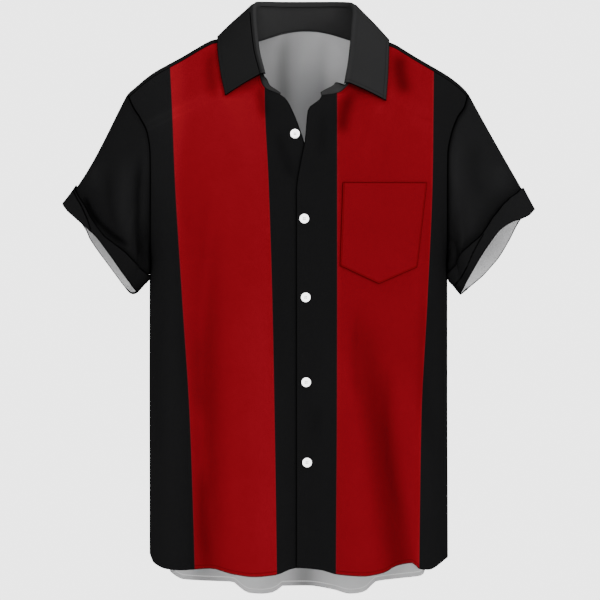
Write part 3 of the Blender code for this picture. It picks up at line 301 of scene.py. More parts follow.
# a place on the shirt is an angle round from the middle front, less than 0 to the right, and a
# way down from the shoulder's ridge, less than 0 down the back
def bodyPoint(angle, way, creased=True):
    angle, way = np.broadcast_arrays(np.asarray(angle, float), np.asarray(way, float))
    front = way > 0
    level, share = shoulderTurn(way)
    across, ahead = section(angle)
    x = halfWidth(level, angle < 0) * across
    z = level + ridgeHeight(x, level)
    depth = np.where(front, readTable(bodyTable, level, 1), readTable(bodyTable, level, 2)) * share
    folds = np.where(front, foldDepth(x, z, foldsFront), foldDepth(x, z, foldsBack))
    if creased:
        folds = folds + np.where(front, creaseDepth(x, z, creasesFront),
                                 creaseDepth(x, z, creasesBack))
    depth = depth + folds * share * np.minimum(np.abs(ahead) * cloth["foldFlat"], 1.0)
    return np.stack([x, cloth["middleY"] + np.where(front, -depth, depth) * ahead, z], -1)


def bodyNormal(angle, way, creased=True, turn=0.4, step=0.001):
    across = bodyPoint(angle + turn, way, creased) - bodyPoint(angle - turn, way, creased)
    down = bodyPoint(angle, way + step, creased) - bodyPoint(angle, way - step, creased)
    return -unit(np.cross(across, down))


def angleAt(x, way):                        # angle of the point at this distance across
    x, way = np.broadcast_arrays(np.asarray(x, float), np.asarray(way, float))
    level = shoulderTurn(way)[0]
    ratio = np.minimum(np.abs(x) / halfWidth(level, x < 0), 1.0)
    ahead = (1 - ratio ** cloth["sectionPower"]) ** (1 / cloth["sectionPower"])
    return np.where(x < 0, -1, 1) * np.degrees(np.arctan2(ratio, ahead))


def between(low, high, isUnder):            # halves the stretch until the place is found
    for _ in range(40):
        middle = (low + high) / 2
        under = isUnder(middle)
        low, high = np.where(under, middle, low), np.where(under, high, middle)
    return middle


def placeAt(x, z, face="front"):            # angle and way of the point seen at x, z
    x, z = np.broadcast_arrays(np.asarray(x, float), np.asarray(z, float))
    level = between(np.full(x.shape, cloth["lowest"]), np.zeros(x.shape),
                    lambda level: level + ridgeHeight(x, level) < z)
    way = wayOfLevel(level, face)
    return angleAt(x, way), way


def overlapLift(x, z):                      # the left front over the right one, open at its top
    off = standOff
    near = 1 - ease((np.abs(x) - off["overFrom"]) / off["overRun"])
    flare = (ease((z - off["flareLow"]) / off["flareRise"])
             * (1 - ease((np.abs(x) - off["flareFrom"]) / off["flareRun"])))
    return off["over"] * near + off["flare"] * flare


def cornerLift(x, z):                       # the right front's corner, turned a little outwards
    off = standOff
    return (off["corner"] * ease((z - off["cornerLow"]) / off["cornerRise"])
            * (1 - ease((np.abs(x) - off["cornerFrom"]) / off["cornerRun"])))


def edgePlace(edge, way):                   # angle of a front's inner edge at each way
    way = np.asarray(way, float)
    outside, past = 0.09, 0.03              # the edge is looked for between these two
    low, high = (-outside, past) if edge is edgeRight else (-past, outside)
    level = shoulderTurn(way)[0]
    x = between(np.full(way.shape, low), np.full(way.shape, high),
                lambda x: x < readTable(edge, level + ridgeHeight(x, level), 1))
    return angleAt(x, way)


def seamWayAt(depth, angle=40.0, step=0.0005, furthest=0.08):   # of the shoulder seam
    ways = np.arange(step, furthest, step)
    ahead = cloth["middleY"] - bodyPoint(angle, ways, False)[:, 1]
    return float(ways[np.argmax(ahead >= depth)])


seamWay = seamWayAt(cloth["seamForward"])
armRows = 92
lowRows = int(cloth["lowReach"] / cloth["step"])


def armWays(face):                          # rows from the armpit to the seam or the ridge
    start = wayOfLevel(cloth["armpit"], face)
    end = seamWay if face == "front" else 0.0
    share = np.linspace(0, 1, armRows + 1)
    slow, power = 0.35, 2.2                 # rows lie closer together at the armpit
    return start + (end - start) * (slow * share ** power + (1 - slow) * share)


def lowWays(angle, face):                   # rows from the hem to the armpit, one column each
    nearHem, gap = -0.7, 0.001
    x = halfWidth(nearHem, angle < 0) * section(angle)[0]
    hem = readTable(hemFront if face == "front" else hemBack, x, 1)
    share = np.arange(lowRows)[:, None] / lowRows
    return wayOfLevel(blend(hem[None, :], cloth["armpit"] - gap, share), face)


# meshes of cloth: a grid of points with a thickness, and what its patterns need
def gridNormals(grid, closed):
    if closed:
        across = np.roll(grid, -1, axis=1) - np.roll(grid, 1, axis=1)
    else:
        across = np.gradient(grid, axis=1)
    return unit(np.cross(across, np.gradient(grid, axis=0)))


def runDown(grid):                          # length along each column, from the first row
    down = np.linalg.norm(np.diff(grid, axis=0), axis=2)
    return np.concatenate([np.zeros((1, grid.shape[1])), np.cumsum(down, axis=0)])


def edgeDistances(grid, closed=False, hidden=None):     # of each point, along the cloth
    if hidden is not None:                  # what is tucked under at a seam doesn't count
        rows, columns = hidden
        shown = grid[rows[0]:len(grid) - rows[1], columns[0]:grid.shape[1] - columns[1]]
        return {key: np.pad(value, hidden, mode="edge")
                for key, value in edgeDistances(shown, closed).items()}
    low = runDown(grid)
    top = low[-1:] - low
    across = np.linalg.norm(np.diff(grid, axis=1), axis=2)
    start = np.concatenate([np.zeros((grid.shape[0], 1)), np.cumsum(across, axis=1)], 1)
    end = start[:, -1:] - start
    if closed:                              # a ring has no side edges
        start, end = start + 1.0, end + 1.0
    return dict(fromLow=low, fromTop=top, fromStart=start, fromEnd=end)


def sheetFaces(outer, inner, closed):       # triangles of one side, and the quads of the rims
    rows, columns = outer.shape[:2]
    count = rows * columns
    points = outer.reshape(-1, 3)
    index = np.arange(count).reshape(rows, columns)
    if closed:
        index = np.concatenate([index, index[:, :1]], 1)
    quads = np.stack([index[:-1, :-1], index[:-1, 1:], index[1:, 1:], index[1:, :-1]], -1)
    quads = quads.reshape(-1, 4)
    normal = np.cross(points[quads[:, 1]] - points[quads[:, 0]],
                      points[quads[:, 3]] - points[quads[:, 0]])
    away = (outer - inner).reshape(-1, 3)[quads[:, 0]]
    if np.sum(normal * away) < 0:
        quads = quads[:, ::-1]
    first = np.linalg.norm(points[quads[:, 0]] - points[quads[:, 2]], axis=1)
    second = np.linalg.norm(points[quads[:, 1]] - points[quads[:, 3]], axis=1)
    shorter = (first <= second)[:, None]        # both faces are cut along the same diagonals
    halves = np.concatenate([np.where(shorter, quads[:, [0, 1, 2]], quads[:, [0, 1, 3]]),
                             np.where(shorter, quads[:, [0, 2, 3]], quads[:, [1, 2, 3]])])
    rims = [(index[0], 1), (index[-1], -1)]
    if not closed:
        rims += [(index[:, 0], -1), (index[:, -1], 1)]
    rimQuads = []
    for line, turn in rims:
        quad = np.stack([line[:-1], line[:-1] + count, line[1:] + count, line[1:]], -1)
        rimQuads.append(quad[:, ::turn])
    return halves, np.concatenate(rimQuads)


def keepPattern(data, values):              # what the finishes read, for both sides of the sheet
    for key, value in values.items():
        layer = data.attributes.new(key, "FLOAT", "POINT")
        layer.data.foreach_set("value", np.tile(value.reshape(-1), 2).astype(np.float32))
    loops = np.zeros(len(data.loops), dtype=np.int32)
    data.loops.foreach_get("vertex_index", loops)
    flat = np.stack([values["fromStart"].reshape(-1), values["fromLow"].reshape(-1)], -1)
    flat = np.tile(flat, (2, 1))[loops]
    data.uv_layers.new(name="cloth").data.foreach_set("uv", flat.reshape(-1).astype(np.float32))


def clothSheet(name, outer, inner, materials, closed=False, extra=None, hidden=None):
    halves, rimQuads = sheetFaces(outer, inner, closed)
    other = halves[:, ::-1] + outer.shape[0] * outer.shape[1]
    faces = halves.tolist() + other.tolist() + rimQuads.tolist()
    data = bpy.data.meshes.new(name)
    points = np.concatenate([outer.reshape(-1, 3), inner.reshape(-1, 3)])
    data.from_pydata(points.tolist(), [], faces)
    for material in materials:
        data.materials.append(material)
    kind = np.zeros(len(faces), dtype=np.int32)
    kind[len(halves):2 * len(halves)] = len(materials) - 1
    data.polygons.foreach_set("material_index", kind)
    values = edgeDistances(outer, closed, hidden)
    values["shade"] = np.zeros(outer.shape[:2])
    values.update(extra or {})
    values.setdefault("insideShade", values["shade"])
    keepPattern(data, values)
    piece = bpy.data.objects.new(name, data)
    bpy.context.scene.collection.objects.link(piece)
    mesh = bmesh.new()
    mesh.from_mesh(data)
    bmesh.ops.recalc_face_normals(mesh, faces=mesh.faces)
    mesh.to_mesh(data)
    mesh.free()
    data.shade_smooth()
    data.set_sharp_from_angle(angle=math.radians(60))
    print("made", name, 2 * len(halves) + 2 * len(rimQuads), "triangles")
    return piece


def sewn(piece, node, size, area):     # size is the flat cut
    print("cut", node, size, round(area, 4))
    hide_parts(node)
    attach(piece, "root")
    return piece


def gridArea(grid, closed=False):
    if closed:
        grid = np.concatenate([grid, grid[:, :1]], 1)
    a = np.cross(grid[1:, :-1] - grid[:-1, :-1], grid[:-1, 1:] - grid[:-1, :-1])
    b = np.cross(grid[1:, 1:] - grid[1:, :-1], grid[1:, 1:] - grid[:-1, 1:])
    return float((np.linalg.norm(a, axis=2) + np.linalg.norm(b, axis=2)).sum() / 2)


# finishes
class Field:                                # a socket that takes part in sums
    def __init__(self, tree, socket):
        self.tree = tree
        self.socket = socket

    def maths(self, operation, *others):
        node = self.tree.nodes.new("ShaderNodeMath")
        node.operation = operation
        for place, value in enumerate((self,) + others):
            if isinstance(value, Field):
                self.tree.links.new(value.socket, node.inputs[place])
            else:
                node.inputs[place].default_value = value
        return Field(self.tree, node.outputs[0])

    def turned(self, operation, other):
        node = self.tree.nodes.new("ShaderNodeMath")
        node.operation = operation
        node.inputs[0].default_value = other
        self.tree.links.new(self.socket, node.inputs[1])
        return Field(self.tree, node.outputs[0])

    def __add__(self, other):
        return self.maths("ADD", other)

    def __radd__(self, other):
        return self.maths("ADD", other)

    def __sub__(self, other):
        return self.maths("SUBTRACT", other)

    def __rsub__(self, other):
        return self.turned("SUBTRACT", other)

    def __mul__(self, other):
        return self.maths("MULTIPLY", other)

    def __rmul__(self, other):
        return self.maths("MULTIPLY", other)

    def __truediv__(self, other):
        return self.maths("DIVIDE", other)

    def clamped(self):
        return self.maths("MAXIMUM", 0.0).maths("MINIMUM", 1.0)


class Finish:                               # one material and its nodes
    def __init__(self, name, roughness=1.0, specular=0.0, colour=None):
        self.material = bpy.data.materials.new(name)
        self.material.use_nodes = True
        self.tree = self.material.node_tree
        self.shader = self.tree.nodes["Principled BSDF"]
        self.shader.inputs["Roughness"].default_value = roughness
        self.shader.inputs["Specular IOR Level"].default_value = specular
        if colour:
            self.shader.inputs["Base Color"].default_value = colour

    def node(self, kind, settings, sockets, output=0):
        made = self.tree.nodes.new(kind)
        for key, value in settings.items():
            setattr(made, key, value)
        for key, value in sockets.items():
            if isinstance(value, Field):
                self.tree.links.new(value.socket, made.inputs[key])
            else:
                made.inputs[key].default_value = value
        return Field(self.tree, made.outputs[output])

    def attribute(self, name):
        return self.node("ShaderNodeAttribute", {"attribute_name": name}, {}, "Fac")

    def mix(self, mask, first, second, way="MIX"):      # colours, by a mask
        return self.node("ShaderNodeMix", {"data_type": "RGBA", "blend_type": way},
                         {0: mask, 6: first, 7: second}, 2)

    def noise(self, scale, detail, vector):
        return self.node("ShaderNodeTexNoise", {}, {"Vector": vector, "Scale": scale,
                                                    "Detail": detail}, "Fac")

    def paint(self, colour, height, strength, distance=0.001):
        self.tree.links.new(colour.socket, self.shader.inputs["Base Color"])
        bump = self.node("ShaderNodeBump", {}, {"Height": height, "Strength": strength,
                                                "Distance": distance}, "Normal")
        self.tree.links.new(bump.socket, self.shader.inputs["Normal"])
        return self.material


looks = dict(
    black=(0.0030, 0.0030, 0.0031, 1),
    # collar and stand: the black cloth painted lighter, as painted light on the collar and on the
    # stand inside the neck
    collar=(0.0066, 0.0066, 0.0067, 1),
    stand=(0.0110, 0.0110, 0.0111, 1),
    red=(0.0780, 0.0021, 0.0040, 1),
    reverse=(0.370, 0.370, 0.374, 1),
    blackThread=(0.0058, 0.0058, 0.0060, 1),
    redThread=(0.0520, 0.0010, 0.0018, 1),
    greyThread=(0.16, 0.16, 0.16, 1),
    paleThreadAndHighlight=(0.66, 0.66, 0.66, 1),
    seamShade=(0.0002, 0.0002, 0.0002, 1),
    redShade=(0.0200, 0.0003, 0.0006, 1),
    weave=0.00042,          # spacing of the yarns
    weaveHeight=0.16,
    fuzz=900.0,             # how fine the cloth's own roughness is
    fuzzHeight=0.12,
    mottlePale=0.04,        # how uneven the dye is
    mottleDark=0.064,
    mottleSize=26.0,
    stripeSoft=0.0004,      # width over which black turns to red
    bump=0.8)
sewing = dict(
    gap=0.0028,             # from one stitch to the next
    stitch=0.36,            # half of a stitch, as a share of the gap
    stitchSoft=0.06,
    threadHalf=0.00022,
    threadSoft=0.0002,
    threadHeight=0.20,
    threadTone=0.8,
    grooveHalf=0.0002,      # the cloth is drawn in along the stitches
    grooveSoft=0.0012,
    grooveHeight=0.40,
    # the cloth along the stitches is painted darker, as painted shade in the groove
    pressHalf=0.00025,
    pressSoft=0.0005,
    pressTone=0.45,
    seamReach=0.0030,       # and pressed in along a seam or a folded edge
    seamHeight=0.55,
    edgeTone=1.6)


def lineAt(distance, place, half, soft):    # 1 on a line along an edge
    return (1 + (half - (distance - place).maths("ABSOLUTE")) / soft).clamped()


def stitchesAt(distance, along, place):     # a row of stitches along an edge
    dash = (along / sewing["gap"]).maths("FRACT")
    dash = ((sewing["stitch"] - (dash - 0.5).maths("ABSOLUTE")) / sewing["stitchSoft"]).clamped()
    return lineAt(distance, place, sewing["threadHalf"], sewing["threadSoft"]) * dash


def clothFinish(name, ground, seams, stitches, stripes=False, thread="blackThread",
                shade="seamShade", edgeLine=0.0006, groove=None):
    finish = Finish(name)
    shaded = finish.attribute("insideShade" if ground == "reverse" else "shade")
    where = finish.node("ShaderNodeUVMap", {"uv_map": "cloth"}, {})
    across = finish.node("ShaderNodeSeparateXYZ", {}, {0: where})
    down = Field(finish.tree, across.socket.node.outputs[1])
    spot = finish.node("ShaderNodeTexCoord", {}, {}, "Object")
    colour = looks[ground]
    threads = looks[thread]
    if stripes:
        red = (finish.attribute("toRed") / looks["stripeSoft"] + 0.5).clamped()
        colour = finish.mix(red, looks["black"], looks["red"])
        threads = finish.mix(red, looks["blackThread"], looks["redThread"])
    uneven = finish.noise(looks["mottleSize"], 3.0, spot)
    dark, pale = 1 - looks["mottleDark"], 1 + looks["mottlePale"]
    tint = finish.mix(uneven, (dark, dark, dark, 1), (pale, pale, pale, 1))
    colour = finish.mix(1.0, colour, tint, "MULTIPLY")
    # painted shade and light: the colour is multiplied by what the shade attribute leaves of it
    lit = 1 - shaded
    light = finish.node("ShaderNodeCombineXYZ", {}, {0: lit, 1: lit, 2: lit})
    colour = finish.mix(1.0, colour, light, "MULTIPLY")
    yarns = 2 * math.pi / looks["weave"]
    height = (across * yarns).maths("SINE") * (down * yarns).maths("SINE") * looks["weaveHeight"]
    height = height + finish.noise(looks["fuzz"], 2.0, spot) * looks["fuzzHeight"]
    for edge in seams:
        distance = finish.attribute(edge)
        seam = (1 - distance / sewing["seamReach"]).clamped()
        height = height - seam * seam * sewing["seamHeight"]
        line = (1 - distance / edgeLine).clamped() * sewing["edgeTone"]
        colour = finish.mix(line.clamped(), colour, looks[shade])
    for edge, alongEdge, place in stitches:
        distance = finish.attribute(edge)
        sewnLine = stitchesAt(distance, finish.attribute(alongEdge), place)
        drawn = lineAt(distance, place, sewing["grooveHalf"], sewing["grooveSoft"])
        height = height + sewnLine * sewing["threadHeight"] - drawn * sewing["grooveHeight"]
        # along the stitches the cloth is painted darker, as painted shade in the groove; on the
        # reverse it is painted pale, as a painted highlight
        pressed = lineAt(distance, place, sewing["pressHalf"], sewing["pressSoft"])
        colour = finish.mix(pressed * sewing["pressTone"], colour, looks[groove or shade])
        colour = finish.mix(sewnLine * sewing["threadTone"], colour, threads)
    return finish.paint(colour, height, looks["bump"])


# each row of stitches: the edge it keeps to, the edge it is counted from, how far in it lies
endEdges, rowEdges = ("fromStart", "fromEnd"), ("fromTop", "fromLow")
frontFinish = clothFinish("front_cloth", "red", endEdges + rowEdges,
                          [("fromStart", "fromLow", 0.0034), ("fromLow", "fromStart", 0.0048)],
                          stripes=True, edgeLine=0.0011)
backFinish = clothFinish("back_cloth", "black", endEdges + rowEdges,
                         [("fromLow", "fromStart", 0.0060), ("fromTop", "fromStart", 0.0050)])
sleeveFinish = clothFinish("sleeve_cloth", "black", ("fromLow",),
                           [("fromLow", "fromStart", 0.0050)], edgeLine=0.0016)
# on the cuffs and the collar a dark line is painted along the fold, as painted shade in the crease
cuffFinish = clothFinish("cuff_cloth", "black", rowEdges + ("toFold",),
                         [("fromTop", "fromStart", 0.0025)], edgeLine=0.0016)
# the reverse's pale stitches, and a pale painted highlight along its stitched groove
reverseFinish = clothFinish("reverse_cloth", "reverse", ("fromLow",) + endEdges,
                            [("fromLow", "fromStart", 0.0060)], thread="paleThreadAndHighlight",
                            shade="greyThread", groove="paleThreadAndHighlight")
collarFinish = clothFinish("collar_cloth", "collar", ("fromTop",) + endEdges + ("toFold",),
                           [("fromTop", "fromStart", 0.0050), ("fromStart", "fromTop", 0.0050),
                            ("fromEnd", "fromTop", 0.0050)], edgeLine=0.0010)
standFinish = clothFinish("stand_cloth", "stand", rowEdges, [("fromLow", "fromStart", 0.0020)])
pocketFinish = clothFinish("pocket_cloth", "red", rowEdges + endEdges,
                           [("fromStart", "fromLow", 0.0022), ("fromEnd", "fromLow", 0.0022),
                            ("fromTop", "fromStart", 0.0022)],
                           thread="redThread", shade="redShade", edgeLine=0.0012)
print("finishes ready")


# fronts
stripeTable = [             # height, the four edges of the two red panels from right to left
    (0.000, -0.1800, -0.0560, 0.0408, 0.1680), (-0.042, -0.1780, -0.0545, 0.0406, 0.1677),
    (-0.089, -0.1755, -0.0537, 0.0406, 0.1670), (-0.183, -0.1716, -0.0490, 0.0406, 0.1657),
    (-0.341, -0.1620, -0.0440, 0.0406, 0.1590), (-0.498, -0.1520, -0.0410, 0.0403, 0.1510),
    (-0.655, -0.1467, -0.0386, 0.0393, 0.1487), (-0.720, -0.1450, -0.0378, 0.0390, 0.1480)]


def redDistance(points):                    # how far inside a red panel, seen from the front
    x, z = points[..., 0], points[..., 2]
    edges = [readTable(stripeTable, z, column) for column in (1, 2, 3, 4)]
    return np.maximum(np.minimum(x - edges[0], edges[1] - x),
                      np.minimum(x - edges[2], edges[3] - x))


def seamDip(distances, edges, reach=0.004):
    dip = 0
    for edge in edges:
        dip = dip + cloth["seamDip"] * (1 - ease(distances[edge] / reach))
    return dip


def wallOn(angle, way, dips, hidden, sink, lift=None):      # outer and inner face of a panel
    points = bodyPoint(angle, way)
    normals = bodyNormal(angle, way)
    if lift is not None:
        points = points + normals * lift(points[..., 0], points[..., 2])[..., None]
    reach = 0.02
    above = ease((points[..., 2] - cloth["armpit"] + reach / 2) / reach)
    closeTo = blend(cloth["sideDip"], 1.0, above)
    dip = seamDip(edgeDistances(points, hidden=hidden), dips) * closeTo + sink
    outer = points - normals * (cloth["underPanels"] + dip[..., None])
    return outer, outer - normals * cloth["thickness"]


frontCut = dict(flat=(0.37, 0.78), columns=52, quickColumns=26, cornerRows=1 / 6, cornerPower=4)
frontHidden = ((0, 2), (0, 0))              # rows and columns tucked under the back


def frontPanel(side):
    edge = edgeRight if side < 0 else edgeLeft
    ways = armWays("front")
    columns = frontCut["columns"]
    share = np.linspace(0, 1, columns + 1)[None, :]
    nearHem = wayOfLevel([-0.6], "front")
    guess = blend(edgePlace(edge, nearHem), side * 90.0, share)[0]
    low = lowWays(guess, "front")
    lowAngle = blend(edgePlace(edge, low), side * 90.0, share)
    high = np.repeat(ways[:, None], columns + 1, 1)
    start = edgePlace(edge, ways)[:, None]
    end = side * armAngle(shoulderTurn(ways)[0])[:, None]
    # only the columns near the neckline follow its corner, the others run on evenly
    rows = int(armRows * frontCut["cornerRows"])
    near = np.arange(len(ways))[:, None] + np.arange(-rows, rows + 1)
    even = start[np.clip(near, 0, len(ways) - 1), 0].mean(axis=1)[:, None]
    corner = (start - even) * (1 - share) ** frontCut["cornerPower"]
    angle = np.concatenate([lowAngle, blend(even, end, share) + corner])
    way = np.concatenate([low, high])
    angle = np.concatenate([angle, angle[-1:], angle[-1:]])
    way = np.concatenate([way, way[-1:], way[-1:] - cloth["seamWidth"]])
    sink = np.zeros(way.shape)
    sink[-2:] = cloth["seamSink"]
    return wallOn(angle, way, ("fromEnd", "fromTop"), frontHidden, sink,
                  cornerLift if side < 0 else overlapLift)


def frontShade(points, side):               # painted shade: the left red panel is painted darker, as it lies in less light
    red = paintedTones["leftRedShade"] * ease(redDistance(points) / paintedTones["redEdge"]) * (side > 0)
    return bodyShade(points, True) + rightSideLight(points) + red


for side, node in ((-1, "front_right"), (1, "front_left")):
    outer, inner = frontPanel(side)
    piece = clothSheet("cloth_" + node, outer, inner, [frontFinish, reverseFinish],
                       extra=dict(toRed=redDistance(outer), shade=frontShade(outer, side)),
                       hidden=frontHidden)
    sewn(piece, node, frontCut["flat"], gridArea(outer))
print("fronts made")


# back
backCut = dict(
    flat=(0.60, 0.86), neckColumns=40, shoulderColumns=32, quickNeck=24, quickShoulder=18,
    ridgeRows=7, sideTuck=0.9, edgeTuck=0.02, edgeSink=0.0001,
    topPower=1.5, neckPower=3,      # how late the rows take on the neckline's curve
    # painted shade and light of the reverse behind the neck and above the hem, and there each
    # painted trough's or ridge's place across, width and shade
    neckTone=0.28, neckLight=-0.68, lightFrom=-0.024, lightRun=0.052,
    lightLow=-0.100, lightRise=0.080, neckLow=-0.250, neckRise=0.100,
    hemHigh=-0.620, hemRun=0.050, hemFlat=0.6,
    hem=[(-0.001, 0.016, 0.42), (-0.139, 0.018, 0.30), (-0.080, 0.020, -0.12)])
backHidden = ((0, 0), (2, 2))               # columns tucked under the fronts


def backInside(points):                     # the painted shade and light of the back's reverse
    cut = backCut
    x, z = points[..., 0], points[..., 2]
    light = ease((x - cut["lightFrom"]) / cut["lightRun"])
    light = light * ease((z - cut["lightLow"]) / cut["lightRise"])
    neck = cut["neckTone"] + cut["neckLight"] * light
    hem = sum(paintedShade * np.exp(-((x - middle) / width) ** 2) for middle, width, paintedShade in cut["hem"])
    high = ease((z - cut["neckLow"]) / cut["neckRise"])
    low = ease((cut["hemHigh"] - z) / cut["hemRun"])
    return bodyShade(points, False) * (1 - cut["hemFlat"] * low) + neck * high + hem * low


def neckWay(turn):                          # across and way of the back neckline
    turn = np.asarray(turn, float)
    half = cloth["neckHalf"]
    x = np.sign(turn) * half * np.abs(np.sin(np.radians(turn)))
    frontY = bodyPoint(angleAt(half, seamWay), seamWay, False)[..., 1]
    bulge = np.maximum(np.cos(np.radians(turn)), 0) ** cloth["neckRound"]
    y = blend(frontY, cloth["neckBack"], bulge)
    way = between(np.full(turn.shape, -cloth["shoulderWay"]["back"]),
                  np.full(turn.shape, seamWay),
                  lambda way: bodyPoint(angleAt(x, way), way, False)[..., 1] > y)
    ends = np.abs(turn) >= 89.9
    return x, np.where(ends, seamWay, way)


def backPanel():
    cut = backCut
    neckColumns = cut["neckColumns"]
    shoulderColumns = cut["shoulderColumns"]
    columns = neckColumns + 2 * shoulderColumns
    leftNeck = angleAt(cloth["neckHalf"], seamWay)
    rightNeck = angleAt(-cloth["neckHalf"], seamWay)
    topAngle = armAngle(shoulderTurn(seamWay)[0])
    x, way = neckWay(np.linspace(-90, 90, neckColumns + 1))
    topAngles = np.concatenate([np.linspace(-topAngle, rightNeck, shoulderColumns + 1)[:-1],
                                angleAt(x, way),
                                np.linspace(leftNeck, topAngle, shoulderColumns + 1)[1:]])
    straight = np.full(shoulderColumns, seamWay)
    topWays = np.concatenate([straight, way, straight])
    share = np.linspace(-1, 1, columns + 1)
    low = lowWays(share * 90, "back")
    lowAngle = np.repeat(share[None, :] * 90, lowRows, 0)
    overRidge = np.linspace(0, seamWay, cut["ridgeRows"] + 1)[1:]
    ways = np.concatenate([armWays("back"), overRidge])
    end = armAngle(shoulderTurn(ways)[0])[:, None]
    t = ((ways - ways[0]) / (ways[-1] - ways[0]))[:, None]
    even = share[None, :] * end
    asTop = topAngles[None, :] * end / topAngle
    highAngle = blend(even, asTop, t ** cut["topPower"])
    high = ways[:, None] + (topWays - seamWay)[None, :] * t ** cut["neckPower"]
    angle, way = np.concatenate([lowAngle, highAngle]), np.concatenate([low, high])
    # two more columns at each side lie under the fronts, below the armpit
    below = np.zeros(len(way))
    below[:lowRows - 2] = 1.0
    sink = np.zeros((len(way), angle.shape[1] + 4))
    sink[:, :2] = sink[:, -2:] = (cut["edgeSink"] + cloth["seamSink"] * below)[:, None]
    turn = (cut["edgeTuck"] + cut["sideTuck"] * below)[:, None]
    angle = np.concatenate([angle[:, :1] - turn, angle[:, :1], angle, angle[:, -1:],
                            angle[:, -1:] + turn], 1)
    way = np.concatenate([way[:, :1], way[:, :1], way, way[:, -1:], way[:, -1:]], 1)
    return wallOn(angle, way, ("fromStart", "fromEnd"), backHidden, sink)


outer, inner = backPanel()
piece = clothSheet("cloth_back", outer, inner, [backFinish, reverseFinish],
                   extra=dict(shade=bodyShade(outer, False) + rightSideLight(outer),
                              insideShade=backInside(outer)),
                   hidden=backHidden)
sewn(piece, "back", backCut["flat"], gridArea(outer))
print("back made")


# sleeves and the cuffs turned up over their ends
sleeveRight = dict(
    side=-1,
    outer=(-0.3168, -0.2120),       # across and height of the opening's ends
    lower=(-0.2215, -0.3290),
    halfDepth=0.049,
    elbow=(-0.2074, -0.3135),       # where the cloth under the arm turns out
    insideFrom=-0.320,              # the reverse is painted darker, as painted shade, from this height on
    insideRun=-0.070,
    paintedShade=-0.20,                     # painted light over the whole sleeve and its cuff, painted shade along its seam
    seamTone=0.30,
    topStart=(-0.47, -0.88),        # how the top leaves the armhole and meets the opening
    topEnd=(-0.66, -0.75),
    # degrees round from the top over the front, how far out the opening lies there
    lip=[(0, 0.0), (10, 0.0022), (17, 0.0032), (32, 0.0036), (44, 0.0022), (57, 0.0),
         (68, -0.0022), (80, -0.0042), (104, -0.0028), (131, -0.0006), (155, 0.0), (180, 0.0),
         (192, 0.0055), (205, 0.0084), (220, 0.0088), (235, 0.0082), (254, 0.0072),
         (270, 0.0062), (283, 0.0046), (294, 0.0010), (303, 0.0002), (316, 0.0018),
         (340, 0.0005), (360, 0.0)],
    # degrees round, width of the cuff
    cuff=[(0, 0.027), (25, 0.025), (47, 0.021), (66, 0.013), (82, 0.009), (99, 0.015),
          (118, 0.022), (142, 0.025), (180, 0.027), (230, 0.023), (280, 0.024), (330, 0.026),
          (360, 0.027)],
    # degrees round, how far from the opening a fold runs along the cuff
    cuffFold=[(4, 0.0240), (36, 0.0205), (57, 0.0122), (72, 0.0010)],
    # degrees round, how far the cuff's upper edge stands off the sleeve
    stand=[(0, 0.0005), (30, 0.0022), (60, 0.0050), (85, 0.0045), (110, 0.0030), (150, 0.0017),
           (180, 0.0006), (210, 0.0010), (250, 0.0030), (310, 0.0030), (360, 0.0005)],
    # across and height of both ends of each crease, half width, height
    front=[(-0.2935, -0.2030, -0.2720, -0.2430, 0.0046, -0.0036),
           (-0.2780, -0.2330, -0.2320, -0.2720, 0.0042, -0.0032),
           (-0.2590, -0.1660, -0.2490, -0.2600, 0.0065, -0.0012),
           (-0.2350, -0.1500, -0.2330, -0.2620, 0.0100, 0.0014),
           (-0.2180, -0.1500, -0.2130, -0.3000, 0.0050, -0.0026),
           (-0.2760, -0.1600, -0.2800, -0.2000, 0.0090, 0.0010)],
    back=[(-0.2850, -0.1950, -0.2600, -0.2500, 0.0080, -0.0030),
          (-0.2550, -0.1500, -0.2400, -0.2700, 0.0090, -0.0022),
          (-0.2250, -0.1300, -0.2200, -0.2700, 0.0080, 0.0018),
          (-0.2130, -0.1700, -0.2100, -0.2900, 0.0050, -0.0020)])
